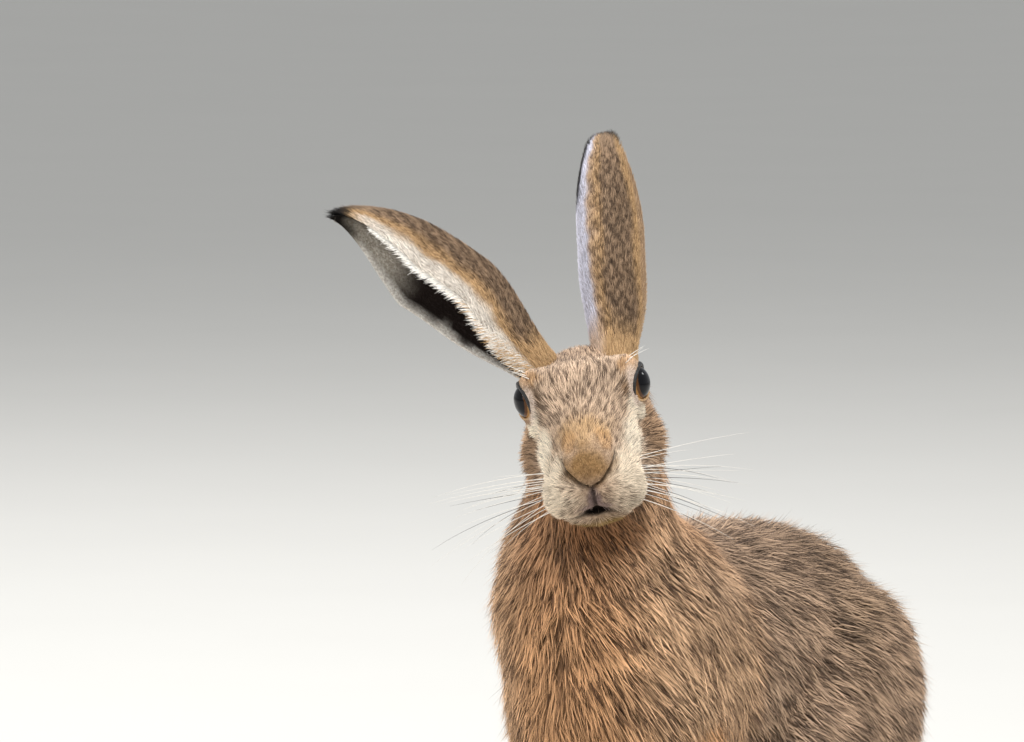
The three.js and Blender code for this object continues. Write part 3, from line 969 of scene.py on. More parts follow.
@dataclass
class Body:
    """Trunk, neck, legs, feet and tail."""

    place: HeadPlace
    step: float = 2.15
    reach: float = 22.0
    even: int = 40
    sole: float = 0.4
    thinnest: float = 3.0
    deepest: float = 9.5
    neck_depth: float = 6.0
    nape_depth: float = 2.5
    fill: float = 4.0
    shallow_below: float = 26.0
    leg_top: float = 78.0
    deepening: float = 60.0
    soles: Band = (2, 9)
    shanks: Band = (30, 75)
    withers: Band = (140, 175)
    neck: Band = (180, 212)
    nape: Band = (205, 232)
    nape_ahead: Band = (-18, -40)
    forelegs_along: Band = (-45, -70)
    neck_along: Band = (-30, -60)
    face_cuts: tuple[Band, ...] = ((-16.0, 222.0), (20.0, 195.0))

    def form(self) -> Form:
        """The flesh: the solids, smoothed, less the depth of the coat.

        Returns:
            The form.
        """
        nodes = [name for region in Region for name in region.nodes()]
        form = Form.of_solids(self.step, self.reach, "head", *nodes)
        places = form.places()
        along, height = places[..., 1], places[..., 2]
        ahead = self.place.to_head(places)[..., 1]
        nape = smoothstep(*self.nape_ahead, ahead)
        soft = mix(form.softened(1), form.softened(9), smoothstep(*self.shanks, height))
        soft = mix(soft, form.softened(60) - self.fill * nape, smoothstep(*self.neck, height))
        deep_from = mix(self.shallow_below, self.leg_top, smoothstep(*self.forelegs_along, along))
        depth = mix(self.thinnest, self.deepest, smoothstep(deep_from, deep_from + self.deepening, height))
        front = smoothstep(*self.withers, height) * smoothstep(*self.neck_along, along)
        depth = mix(depth, self.neck_depth, front)
        depth = mix(depth, self.nape_depth, smoothstep(*self.nape, height) * nape)
        depth = mix(self.sole, depth, smoothstep(*self.soles, height))
        kept = soft + depth
        for front, above in self.face_cuts:
            kept = np.maximum(kept, np.minimum(ahead - front, height - above))
        form.values = kept.astype(np.float32)
        return form

    def nearest(self, points: Array) -> Array:
        """The number of the region whose solids are nearest to each point.

        Args:
            points: the points.
        Returns:
            One number for each point.
        """
        parts = [solids(*region.nodes()).points[::2] for region in Region]
        owner = np.repeat(np.arange(len(parts)), [len(part) for part in parts])
        return owner[nearest_of(np.concatenate(parts), points)]

    def skin(self, form: Form) -> Skin:
        """The body's skin and how its coat grows.

        Args:
            form: the flesh.
        Returns:
            The skin.
        """
        surface = form.surface().largest()
        points, normals = surface.points, surface.normals()
        regions = [region.value for region in Region]
        near = self.nearest(points)
        way = np.array([g.way for g in regions], float)[near]
        numbers = np.array([[g.dark, g.length, g.width, g.lift, g.lay, g.close] for g in regions])[near]
        tone = np.array([g.tone.linear() for g in regions])[near]
        front = smoothstep(-60, -120, points[:, 1]) * smoothstep(70, 100, points[:, 2])
        way[:, 0] += 0.014 * points[:, 0] * front
        mixed = surface.spread(np.concatenate([unit(way), tone, numbers], 1), self.even)
        lie = mixed[:, :3] - (mixed[:, :3] * normals).sum(1, keepdims=True) * normals
        tone, dark = self.shaded(points, normals, near, mixed[:, 3:6], mixed[:, 6])
        return Skin(surface, unit(lie), tone, dark, *mixed[:, 7:].T)

    def shaded(
        self, points: Array, normals: Array, near: Array, tone: Array, dark: Array
    ) -> tuple[Array, Array]:
        """The body's markings on top of each region's colour, with a painted shadow on the throat under the
        chin.

        Args:
            points: the skin's points.
            normals: their normals.
            near: each point's region number.
            tone: its region's colour, evened.
            dark: its share of dark hairs.
        Returns:
            The colour and the share of dark hairs.
        """
        names = [region.name for region in Region]
        tail = near == names.index("TAIL")
        aside, along, height = np.abs(points[:, 0] - MIDLINE), points[:, 1], points[:, 2]
        up = normals[:, 2] + 0.25 * ripple(points, 30, 1)
        high = smoothstep(140, 185, height)
        flank = smoothstep(10, 38, aside) * smoothstep(90, 130, height)
        flank = flank * np.isin(near, [names.index("CHEST"), names.index("NECK")])
        tone = mix(tone, Tone.FAWN.linear(), 0.85 * flank[:, None])
        dark = dark + 0.12 * flank
        back = (smoothstep(0.1, 0.8, up) * high * smoothstep(-115, -60, along))[:, None]
        tone = mix(tone, Tone.GREY.linear() * 0.85, 0.5 * back)
        dark = dark + 0.16 * back[:, 0]
        low = smoothstep(105, 60, height) * smoothstep(-0.15, -0.75, up)
        inner = smoothstep(30, 12, aside) * smoothstep(110, 70, height)
        belly = np.clip(low + 0.5 * inner, 0, 1)[:, None]
        tone = mix(tone, Tone.WHITE.linear(), 0.9 * belly)
        dark = dark * (1 - belly[:, 0])
        top = (tail * smoothstep(-0.1, 0.35, normals[:, 2] + 0.7 * normals[:, 1]))[:, None]
        middle = smoothstep(15, 9, aside)[:, None]
        tone = mix(tone, Tone.BLACK.linear(), top * middle)
        local = self.place.to_head(points)
        # the first patch is painted shadow under the chin, the second is the nape's own colour
        for mark in NECK_PATCHES:
            share = mark.share(local)
            tone = mix(tone, mark.tone.linear(), share[:, None])
            dark = mix(dark, mark.dark, share)
        patch = 1 + 0.13 * ripple(points, 16, 2) + 0.1 * ripple(points, 7, 3)
        return tone * patch[:, None], np.clip(dark * (1 + 0.8 * ripple(points, 10, 4)), 0, 1)


@dataclass(frozen=True)
class EyeShape:
    """One eye: its ball, the opening between its lids and the way it looks."""

    side: int
    radius: float = 10.0
    apart: float = 40.0
    long: float = 9.1
    high: float = 7.7
    forward: float = 17.0
    upward: float = 0.08
    tip: float = -14.0
    cornea: float = 0.55
    lid: float = 0.95

    def centre(self) -> Array:
        """The middle of the ball in the head's axes."""
        return np.array([self.side * self.apart / 2, 0.0, 0.0])

    def axes(self) -> Array:
        """The eye's own axes.

        Returns:
            Rows: along the opening towards the nose, up across it, and the line of sight.
        """
        turn = math.radians(self.forward)
        sight = unit(np.array([math.cos(turn) * self.side, math.sin(turn), self.upward]))
        level = unit(np.array([0.0, 1.0, 0.0]) - sight[1] * sight)
        rise = np.cross(level, sight) * -self.side
        tip = math.radians(self.tip)
        along = math.cos(tip) * level + math.sin(tip) * rise
        across = math.cos(tip) * rise - math.sin(tip) * level
        return np.array([along, across, sight])

    def rim(self, count: int, grow: float = 1.0) -> Array:
        """Points round the opening on the ball, in the head's axes.

        Args:
            count: how many.
            grow: scales the opening.
        Returns:
            One row for each point, starting at the nose end.
        """
        angle = np.linspace(0, 2 * math.pi, count, endpoint=False)
        along = self.long * grow * np.sign(np.cos(angle)) * np.abs(np.cos(angle)) ** 0.92
        up = self.high * grow * np.sin(angle)
        out = np.sqrt(np.maximum((self.radius + self.cornea) ** 2 - along**2 - up**2, 0.5))
        return self.centre() + np.stack([along, up, out], 1) @ self.axes()


@dataclass
class Head:
    """The head under the coat, with its lids, nostrils, cleft lip and mouth."""

    place: HeadPlace
    step: float = 0.9
    reach: float = 9.0
    flecks: float = 0.38
    eye_clear: float = 1.1
    mouth_at: tuple[float, float, float] = (0, 55, -36.8)
    mouth_size: tuple[float, float, float] = (6.0, 7.0, 2.0)

    def fold_height(self, x: Array) -> Array:
        """How high the nostrils' folds run at each distance from the head's middle."""
        return np.interp(x, (0, 5, 10, 14), (-24.2, -21.8, -17.0, -12.0))

    def creases(self, p: Array) -> tuple[Array, Array, Array]:
        """How strong the face's creases are at places of the head's axes.

        Args:
            p: the places.
        Returns:
            The nostrils' folds, the cleft of the lip and the line of the mouth, each from 0 to 1.
        """
        x, y, z = np.abs(p[..., 0]), p[..., 1], p[..., 2]
        slit = 1.1 + 0.5 * np.exp(-(((x - 7) / 3) ** 2))
        nostril = np.exp(-(((z - self.fold_height(x)) / slit) ** 2)) * smoothstep(15.5, 11, x)
        cleft = np.exp(-((x / 1.2) ** 2)) * smoothstep(-23.5, -26, z) * smoothstep(-38, -35, z)
        mouth = np.exp(-(((z + 37.2 + 0.2 * x) / 1.1) ** 2)) * smoothstep(17, 11, x)
        ahead = smoothstep(38, 46, y)
        return nostril * ahead, cleft * ahead, mouth * smoothstep(30, 40, y)

    def mound(self, p: Array, at: Sequence[float], size: Sequence[float]) -> Array:
        """How much of a soft swelling, alike on both sides, there is at places of the head's axes.

        Args:
            p: the places.
            at: its middle.
            size: its half widths.
        Returns:
            The share, from 0 to 1.
        """
        folded = np.stack([np.abs(p[..., 0]), p[..., 1], p[..., 2]], -1)
        return smoothstep(1.5, 0.4, np.linalg.norm((folded - at) / size, axis=-1))

    def relief(self, p: Array) -> Array:
        """How far the nose, whisker pads and brows stand out, and how deep the creases between them are.

        Args:
            p: the places.
        Returns:
            The heights in millimetres.
        """
        x, y, z = np.abs(p[..., 0]), p[..., 1], p[..., 2]
        ahead = smoothstep(36, 46, y)
        over = z - self.fold_height(x)
        dome = smoothstep(-0.4, 1.4, over) * smoothstep(15, 9, x) * smoothstep(0, -12, z)
        beside = np.hypot((x - 8.5) / 10, (z + 29.5) / 8.5)
        pad = smoothstep(0.4, -1.6, over) * smoothstep(1.35, 0.4, beside)
        chin = smoothstep(-39, -41, z) * smoothstep(14, 6, x)
        nostril, cleft, mouth = self.creases(p)
        brow = self.mound(p, (22.5, 5, 11.5), (4, 8, 4))
        puff = self.mound(p, (24.5, 5, -11.5), (4, 6, 3.5))
        hollow = self.mound(p, (24.5, 13, 1), (5, 8, 9))
        raised = ahead * (1.7 * dome + 1.6 * pad + 0.6 * chin) + 1.5 * brow + 1.6 * puff - 1.7 * hollow
        return raised - 2.6 * nostril - 2.0 * cleft - 1.5 * mouth

    def depth(self, p: Array) -> Array:
        """The coat's depth at places of the head's axes.

        Args:
            p: the places.
        Returns:
            The depths in millimetres.
        """
        muzzle = smoothstep(16, 44, p[..., 1])
        depth = mix(3.0, 1.6, muzzle)
        depth = mix(depth, 1.2, smoothstep(48, 57, p[..., 1]) * smoothstep(-30, -24, p[..., 2]))
        eye = np.linalg.norm(np.abs(p) - EyeShape(1).centre(), axis=-1)
        depth = mix(0.7, depth, smoothstep(11, 17, eye))
        low = smoothstep(-22, -44, p[..., 2]) * smoothstep(40, 10, p[..., 1])
        return depth + 1.6 * low

    def form(self) -> Form:
        """The flesh of the head.

        Returns:
            The form.
        """
        form = Form.of_solids(self.step, self.reach, "head", "eye_left", "eye_right")
        p = self.place.to_head(form.places())
        values = mix(form.softened(10), form.softened(3), smoothstep(30, 48, p[..., 1])) + self.depth(p)
        values = values - self.relief(p)
        values = carve(values, ball(p, self.mouth_at, self.mouth_size), 1.2)
        for side in (1, -1):
            values = self.with_lids(values, p, EyeShape(side))
        form.values = values.astype(np.float32)
        return form

    def with_lids(self, values: Array, p: Array, eye: EyeShape) -> Array:
        """Adds an eye's lids and opens its socket.

        Args:
            values: the head's distances.
            p: their places in the head's axes.
            eye: the eye.
        Returns:
            The distances with the eye's socket in them.
        """
        away = p - eye.centre().astype(np.float32)
        distance = np.linalg.norm(away, axis=-1)
        along, up, out = np.moveaxis(away @ eye.axes().T.astype(np.float32), -1, 0)
        values = blend(values, distance - (eye.radius + eye.lid), 3.0)
        opening = (np.hypot(along / eye.long, up / eye.high) - 1) * eye.high
        opening = np.where(out > 0, opening, 5.0)
        values = np.maximum(values, -opening)
        return np.maximum(values, eye.radius + 0.05 - distance)

    def skin(self, form: Form) -> Skin:
        """The head's skin and how its coat grows.

        Args:
            form: the flesh.
        Returns:
            The skin.
        """
        surface = form.surface().largest()
        normals = surface.normals()
        p = self.place.to_head(surface.points)
        lie = self.way(p) @ self.place.axes().T
        lie = lie - (lie * normals).sum(1, keepdims=True) * normals
        tone, dark, bare = self.markings(p)
        return Skin(surface, unit(lie), tone, dark, *self.growth(p, bare))

    def markings(self, p: Array) -> tuple[Array, Array, Array]:
        """The head's colours, with painted shade under the chin, on the throat, in the creases and in the
        mouth's gap.

        Args:
            p: places on the skin, in the head's axes.
        Returns:
            The colour, the share of dark hairs and how bare the skin is, at each place.
        """
        tone = np.tile(Tone.SAND.linear(), (len(p), 1))
        dark = np.full(len(p), self.flecks)
        wander = 1.2 * np.stack([ripple(p, 6, k) for k in (5, 6, 7)], 1)
        for patch in FACE_PATCHES:
            share = patch.share(p + wander)
            tone = mix(tone, patch.tone.linear(), share[:, None])
            dark = mix(dark, patch.dark, share)
        # rufous throat, darkened to three quarters as painted shadow under the chin
        throat = smoothstep(18, -12, p[:, 1]) * smoothstep(-34, -46, p[:, 2])
        tone = mix(tone, 0.75 * Tone.RUFOUS.linear(), 0.8 * throat[:, None])
        bare = np.zeros(len(p))
        for patch in BARE_PATCHES:
            share = patch.share(p)
            tone = mix(tone, patch.tone.linear(), share[:, None])
            bare = np.maximum(bare, share)
        crease = np.maximum.reduce(self.creases(p))
        # painted shade in the creases: the nostril folds, the lip's cleft and the mouth line darkened towards
        # soot
        tone = mix(tone, Tone.SOOT.linear(), (0.7 * smoothstep(0.4, 0.85, crease))[:, None])
        bare = np.maximum(bare, smoothstep(0.3, 0.5, crease))
        patchy = 1 + 0.09 * ripple(p, 9, 8) + 0.07 * ripple(p, 3.5, 9)
        return tone * patchy[:, None], dark, bare

    def growth(self, p: Array, bare: Array) -> tuple[Array, ...]:
        """How the coat grows on the head: short on the nose and round the eyes, long on the cheeks.

        Args:
            p: places on the skin, in the head's axes.
            bare: how bare the skin is at each.
        Returns:
            The tufts' length, width, rise at root and at tip, and closeness, at each place.
        """
        muzzle = smoothstep(12, 42, p[:, 1])
        over = p[:, 2] - self.fold_height(np.abs(p[:, 0]))
        nose = smoothstep(44, 52, p[:, 1]) * smoothstep(-1.0, 0.5, over)
        lip = smoothstep(0.02, 0.25, np.maximum.reduce(self.creases(p)))
        eye = smoothstep(17, 11.5, np.linalg.norm(np.abs(p) - EyeShape(1).centre(), axis=1))
        cheek = smoothstep(-14, -34, p[:, 2]) * smoothstep(34, 8, p[:, 1])
        base = smoothstep(24, 15, np.linalg.norm(np.abs(p) - [16, -30, 12], axis=1))
        length = mix(5.6, 4.2, muzzle)
        length = mix(length, 7.5, np.maximum(base, 0.7 * smoothstep(4, 15, p[:, 2])))
        length = mix(length, 1.9, nose)
        length = mix(length, 9.5, cheek)
        length = mix(length, 1.3, np.maximum(eye, lip))
        width = mix(0.44, 0.34, np.maximum(muzzle, eye)) + 0.1 * cheek
        lift = mix(28.0, 22.0, muzzle) - 8 * eye + 14 * cheek
        lift = mix(lift, 16.0, nose)
        close = (mix(2.9, 3.6, muzzle) + 1.2 * nose) * (1 - bare) + 1.2 * eye - 1.2 * cheek
        away = [np.linalg.norm(p - EyeShape(side).centre(), axis=1) for side in (1, -1)]
        close = np.where(np.minimum(*away) < EyeShape(1).radius + self.eye_clear, 0, close)
        return length, width, lift, 0.4 * lift, close

    def way(self, p: Array) -> Array:
        """The way the hair points on the head: back from the nose, round the eyes and down the cheeks.

        Args:
            p: places of the head's axes.
        Returns:
            One unit vector for each place, in the head's axes.
        """
        side = np.sign(p[:, :1])
        back = np.tile([0.0, -1.0, 0.25], (len(p), 1))
        cheek = (smoothstep(-6, -26, p[:, 2]) * smoothstep(44, 16, p[:, 1]))[:, None]
        same = np.ones_like(side)
        down = unit(np.array([0.35, -1.0, -0.55])) * np.concatenate([side, same, same], 1)
        way = mix(back, down, cheek)
        pad = (smoothstep(30, 42, p[:, 1]) * smoothstep(-18, -27, p[:, 2]))[:, None]
        outward = np.concatenate([side * smoothstep(0, 5, np.abs(p[:, :1])), -0.45 * same, -0.35 * same], 1)
        way = mix(way, outward, pad)
        for eye in (EyeShape(1), EyeShape(-1)):
            away = p - eye.centre()
            near = smoothstep(21, 12, np.linalg.norm(away, axis=1))[:, None]
            way = mix(way, unit(away) + [0, -0.7, 0], 0.5 * near)
        return unit(way)


# The ears.
class Face(enum.Enum):
    """The two faces of an ear."""

    OUTER = 0.26
    INNER = 0.74


@dataclass(frozen=True)
class EarShape:
    """An ear: a tapering sheet rolled round its length, in the head's axes."""

    place: HeadPlace
    name: str
    side: int
    outward: float
    back: float
    turn: float
    bow: float
    length: float = 118.0
    fringe: float = 4.2
    fringe_tone: Tone = Tone.WHITE
    root: tuple[float, float, float] = (15, -25, 5)
    wall: float = 3.0
    buried: float = 0.1
    width: float = 30.0
    depth: float = 24.5
    root_width: float = 21.0
    widest_from: float = 0.42
    narrows_from: float = 0.6
    front_wrap: float = 94.0
    rear_wrap: float = 122.0
    root_wrap: float = 142.0
    tip_wrap: float = 62.0
    axis_inside: float = 0.26
    margin_along: float = 0.985
    skin_along: float = 0.99
    skin_across: float = 0.985
    rows: int = 76
    columns: int = 36

    def axes(self) -> tuple[Array, Array, Array]:
        """The ear's own axes.

        Returns:
            The ways along the ear, across it and out of its opening.
        """
        out, back = math.radians(self.outward), math.radians(self.back)
        level = math.cos(back)
        up = np.array([math.sin(out) * level * self.side, -math.sin(back), math.cos(out) * level])
        ahead = np.array([0.0, 1.0, 0.2])
        ahead = unit(ahead - (ahead @ up) * up)
        angle = -math.radians(self.turn) * self.side
        opening = ahead * math.cos(angle) + np.cross(up, ahead) * math.sin(angle)
        return up, np.cross(up, opening), opening

    def at(self, s: Array, across: Array, wall: Array | float) -> Array:
        """Points of the ear in the model.

        Args:
            s: the share of the length, from 0 at the root to 1 at the tip.
            across: from -1 to 1, from margin to margin.
            wall: the share of the way through the sheet, from its outer face.
        Returns:
            One row for each point.
        """
        up, breadth, opening = self.axes()
        widening = smoothstep(0, self.widest_from, s)
        narrowing = np.clip((s - self.narrows_from) / (1 - self.narrows_from), 0, 0.995)
        fullness = np.sqrt(1 - narrowing**2.2)
        half = mix(self.root_width, self.width, widening) / 2 * fullness
        depth = mix(self.root_width / 2, self.depth, widening) * fullness
        middle_wrap = np.where(across * self.side > 0, self.front_wrap, self.rear_wrap)
        wrap = np.radians(mix(mix(self.root_wrap, middle_wrap, widening), self.tip_wrap, narrowing))
        thick = self.wall * mix(1, 0.55, np.abs(across) ** 3) * mix(1, 0.5, narrowing)
        slimmer = [1 - wall * thick / np.maximum(size, 3) for size in (half, depth)]
        sideways = np.sin(across * wrap) * half * slimmer[0]
        forward = -np.cos(across * wrap) * depth * slimmer[1] + self.axis_inside * depth
        forward = forward - self.bow * np.sin(math.pi * s)
        along = s * self.length - wall * thick * s
        local = np.array(self.root) * [self.side, 1, 1]
        reaches = ((along, up), (sideways, breadth), (forward, opening))
        local = local + sum(np.multiply.outer(size, axis) for size, axis in reaches)
        return self.place.from_head(local)

    def grid(self) -> Sequence[Array]:
        """For each point of one face of the skin, the share of the length and the place across."""
        along, across = np.linspace(-self.buried, 1, self.rows + 1), np.linspace(-1, 1, self.columns + 1)
        return np.meshgrid(along, across, indexing="ij")

    def surface(self) -> Surface:
        """The ear's skin as one closed sheet inside its coat.

        Returns:
            The surface.
        """
        s, across = self.grid()
        s = s * mix(self.margin_along, 1.0, 1 - across**2)
        s, across = s * self.skin_along, across * self.skin_across
        points = [self.at(s.ravel(), across.ravel(), face.value) for face in Face]
        number = np.arange(s.size).reshape(s.shape)
        cells = [number[:-1, :-1], number[:-1, 1:], number[1:, 1:], number[1:, :-1]]
        outer = np.stack([c.ravel() for c in cells], 1)
        inner = outer[:, ::-1] + s.size
        rim = np.concatenate([number[0, :-1], number[:-1, -1], number[-1, :0:-1], number[:0:-1, 0]])
        ahead = np.roll(rim, -1)
        edge = np.stack([ahead, rim, rim + s.size, ahead + s.size], 1)
        made = Surface(np.concatenate(points), [np.concatenate([outer, inner, edge])])
        a, b, c = (made.points[made.triangles()[:, k]] for k in range(3))
        if (a * np.cross(b, c)).sum() < 0:
            made.faces = [f[:, ::-1] for f in made.faces]
        return made

    def markings(self, s: Array, front: Array, face: Face, points: Array) -> tuple[Array, Array]:
        """The ear's colours, with painted shade in the cup of the inner face and painted sky light tinting
        the pale back.

        Args:
            s: the share of the length.
            front: from -1 at the rear margin to 1 at the front one.
            face: which face.
            points: where in the model, for the mottling.
        Returns:
            The colour and the share of dark hairs.
        """
        s = s + 0.02 * ripple(points, 9, 11)
        front = front + 0.03 * ripple(points, 8, 12)
        if face is Face.OUTER:
            fore = smoothstep(-0.24, 0.04, front)
            # the rear half of the outer face: pale grey-white, its bluish tint painted sky light
            tone = mix(Tone.SKY_TINTED_PALE.linear(), 0.82 * Tone.BROWN.linear(), fore[:, None])
            buff = smoothstep(0.18, 0.04, np.abs(front + 0.06)) + smoothstep(0.16, 0.03, s)
            buff = buff + smoothstep(0.56, 0.74, front)
            tone = mix(tone, Tone.BUFF.linear(), 0.75 * np.clip(buff, 0, 1)[:, None])
            dark = 0.8 * fore * smoothstep(0.02, 0.13, s) * smoothstep(0.95, 0.7, s)
            dark = dark * smoothstep(0.8, 0.55, front)
            tip = smoothstep(0.6, 0.72, s) * smoothstep(-0.3, -0.5, front) + smoothstep(0.9, 0.965, s)
        else:
            # the inner face's dark skin, deepened to near black as painted shade in the ear's cup
            tone = np.tile(Tone.SOOT.linear(), (len(s), 1))
            pale = smoothstep(0.6, 0.74, s) * smoothstep(-0.45, -0.85, front)
            tone = mix(tone, Tone.ASH.linear(), pale[:, None])
            dark = np.full(len(s), 0.02)
            tip = smoothstep(0.9, 0.96, s)
        rear = smoothstep(-0.91, -0.95, front) * smoothstep(0.93, 0.85, s)
        tone = mix(tone, 1.15 * Tone.WHITE.linear(), rear[:, None])
        tip = tip * (1 - rear)
        margin = smoothstep(0.76, 0.88, front) * smoothstep(0.95, 0.8, s)
        tone = mix(tone, mix(Tone.BUFF.linear(), self.fringe_tone.linear(), 0.8), margin[:, None])
        tip = np.clip(tip, 0, 1)
        tone = mix(tone, Tone.BLACK.linear(), tip[:, None])
        patchy = 1 + 0.1 * ripple(points, 6, 13)
        return tone * patchy[:, None], np.clip(dark * (1 - tip) * (1 - margin), 0, 1)


# Tufts.
class Cut(enum.Enum):
    """The shape of a tuft: straight with one taper, or bent once on its way."""

    STRAIGHT = 4
    BENT = 7


@dataclass
class Roots:
    """Where tufts grow and how each one is to be."""

    points: Array
    normals: Array
    lie: Array
    tone: Array
    dark: Array
    length: Array
    width: Array
    lift: Array
    lay: Array
    spot: Array

    def only(self, keep: Array) -> "Roots":
        """The roots that are kept."""
        return Roots(*(getattr(self, key)[keep] for key in self.__dataclass_fields__))

    @classmethod
    def together(cls, several: Sequence["Roots"]) -> "Roots":
        """Several lots of roots as one."""
        return cls(*(np.concatenate([getattr(r, key) for r in several]) for key in cls.__dataclass_fields__))


@dataclass
class Tufts:
    """One piece of the coat: closed, tapered tufts of three sides with their roots sunk in the skin."""

    name: str
    slot: str
    roots: Roots
    cut: Cut
    clump: float = 0.0
    clump_size: float = 5.0
    stray: float = 0.2
    sway: float = 0.16
    sway_size: float = 14.0
    bend: float = 0.45
    keel: float = 0.55
    sink: float = 0.6
    floor_gap: float = 0.05
    grain: float = 2.2
    grain_depth: float = 1.9
    pale_share: float = 0.42
    patch: float = 0.003
    softness: float = 0.5

    def clumped(self, rng: np.random.Generator, points: list[Array]) -> list[Array]:
        """Draws the tufts' upper points together into locks.

        Args:
            rng: the random draw.
            points: the root, middle and tip of every tuft.
        Returns:
            The same points, drawn together.
        """
        root = points[0]
        count = max(int(len(root) / (self.clump_size * 2)), 1)
        chosen = rng.choice(len(root), count, replace=False)
        leader = chosen[nearest_of(root[chosen], root)]
        pull = (self.clump * rng.uniform(0.4, 1.0, len(root)))[:, None]
        drawn = [root]
        for share, point in zip((self.bend, 1.0), points[1:]):
            aim = point[leader] + 0.25 * (root - root[leader])
            drawn.append(mix(point, aim, share * pull))
        return drawn

    def build(self, seed: int, material: bpy.types.Material) -> bpy.types.Object:
        """The piece's mesh, dressed and riding on the body.

        Args:
            seed: the random draw's own.
            material: its hair.
        Returns:
            The object.
        """
        rng = np.random.default_rng(seed)
        r = self.roots
        count = len(r.points)
        length = r.length * rng.uniform(0.7, 1.2, count)
        swing = self.stray * rng.normal(size=count) + self.sway * ripple(r.points, self.sway_size, seed)
        lie = turned(r.lie, r.normals, swing)
        lift = np.radians(r.lift * rng.uniform(0.6, 1.35, count))[:, None]
        lay = np.radians(r.lay * rng.uniform(0.3, 1.6, count))[:, None]
        first = np.cos(lift) * lie + np.sin(lift) * r.normals
        last = np.cos(lay) * lie + np.sin(lay) * r.normals
        root = r.points - self.sink * r.normals
        middle = root + first * (self.bend * length)[:, None]
        tip = middle + last * ((1 - self.bend) * length)[:, None]
        if self.clump:
            root, middle, tip = self.clumped(rng, [root, middle, tip])
        across = unit(np.cross(tip - root, r.normals))
        rise = np.cross(across, unit(tip - root))
        half = (r.width * rng.uniform(0.7, 1.3, count) / 2)[:, None]
        ring = [(-1.0, 0.0), (1.0, 0.0), (0.0, self.keel)]
        points = [root + half * (x * across + y * rise) for x, y in ring]
        outward = [x * across + 1.2 * (y + 0.1) * rise for x, y in ring]
        along = [0.0] * 3
        if self.cut is Cut.BENT:
            points += [middle + 0.85 * half * (x * across + y * rise) for x, y in ring]
            outward += outward
            along += [self.bend] * 3
        points.append(tip)
        outward.append(rise)
        along.append(1.0)
        size = self.cut.value
        stacked = np.stack(points, 1).reshape(-1, 3)
        stacked[:, 2] = np.maximum(stacked[:, 2], self.floor_gap)
        offset = (np.arange(count) * size)[:, None]
        last_ring = size - 4
        sides = ((1, 0), (2, 1), (0, 2))
        tips = np.concatenate([offset + [last_ring + a, last_ring + b, size - 1] for a, b in sides])
        faces = [np.concatenate([offset + [0, 1, 2], tips])]
        if self.cut is Cut.BENT:
            faces.append(np.concatenate([offset + [a, b, b + 3, a + 3] for a, b in sides]))
        made = make_object(self.name, Surface(stacked, faces))
        self.dress(made, np.stack(outward, 1), np.tile(along, count), rng, material)
        return made

    def dress(
        self,
        made: bpy.types.Object,
        outward: Array,
        along: Array,
        rng: np.random.Generator,
        material: bpy.types.Material,
    ) -> None:
        """Gives the mesh its colours, its map, its soft normals and its material.

        Args:
            made: the object.
            outward: each point's way out of its tuft.
            along: how far up its tuft each point is.
            rng: the random draw.
            material: the hair's finish.
        """
        r, mesh, size = self.roots, made.data, self.cut.value
        count = len(r.points)
        grain = np.clip(1 + self.grain_depth * ripple(r.points, self.grain, 21), 0.05, 3.0)
        draw = rng.uniform(size=count) / grain
        pale = rng.uniform(size=count) < self.pale_share
        dark_tick, pale_tick = rng.uniform(0.6, 1.0, count), -rng.uniform(0.3, 1, count)
        tick = np.where(draw < r.dark, dark_tick, np.where(pale, pale_tick, 0))
        tone = r.tone * rng.uniform(0.82, 1.16, (count, 1))
        set_values(mesh, "markings", np.repeat(np.clip(tone, 0, 1), size, axis=0))
        set_values(mesh, "along", along)
        set_values(mesh, "tick", np.repeat(tick, size))
        normals = unit(mix(outward, r.normals[:, None, :], self.softness)).reshape(-1, 3)
        mesh.normals_split_custom_set_from_vertices(normals.astype(np.float32))
        side = np.tile([-1.0, 1.0, 0.0] * (size // 3) + [0.0], count) * 0.5
        spot = np.repeat(r.spot, size, axis=0) + self.patch * np.stack([side, along - 0.5], 1)
        corners = np.empty(len(mesh.loops), np.int32)
        mesh.loops.foreach_get("vertex_index", corners)
        layer = mesh.uv_layers.new(name="OFBake")
        layer.uv.foreach_set("vector", spot[corners].astype(np.float32).ravel())
        mesh.materials.append(material)
        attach(made, "root")
        triangles = count * (10 if self.cut is Cut.BENT else 4)
        log.info("%s: %d tufts, %d triangles", self.name, count, triangles)


@dataclass(frozen=True)
class Unwrap:
    """An unwrap of one part of the skin: round an axis and along it."""

    start: Sequence[float]
    end: Sequence[float]

    @classmethod
    def along(cls, points: Array) -> "Unwrap":
        """The unwrap round the long axis of some points.

        Args:
            points: the points.
        Returns:
            The unwrap.
        """
        middle = points.mean(0)
        longest = np.linalg.svd(points - middle, full_matrices=False)[2][0]
        return cls(middle, middle + longest)

    def spots(self, points: Array) -> Array:
        """Where each point lies on the map, with the whole of the points filling it.

        Args:
            points: the points.
        Returns:
            One place on the map for each point.
        """
        axis = unit(np.array(self.end, float) - self.start)
        side = unit(np.cross(axis, [0.0, 0.0, 1.0] if abs(axis[2]) < 0.9 else [0.0, 1.0, 0.0]))
        away = points - np.array(self.start, float)
        round_ = np.arctan2(away @ np.cross(axis, side), away @ side) / (2 * math.pi) + 0.5
        along = away @ axis
        flat = np.stack([round_, (along - along.min()) / max(np.ptp(along), 1e-6)], 1)
        return 0.01 + 0.98 * flat


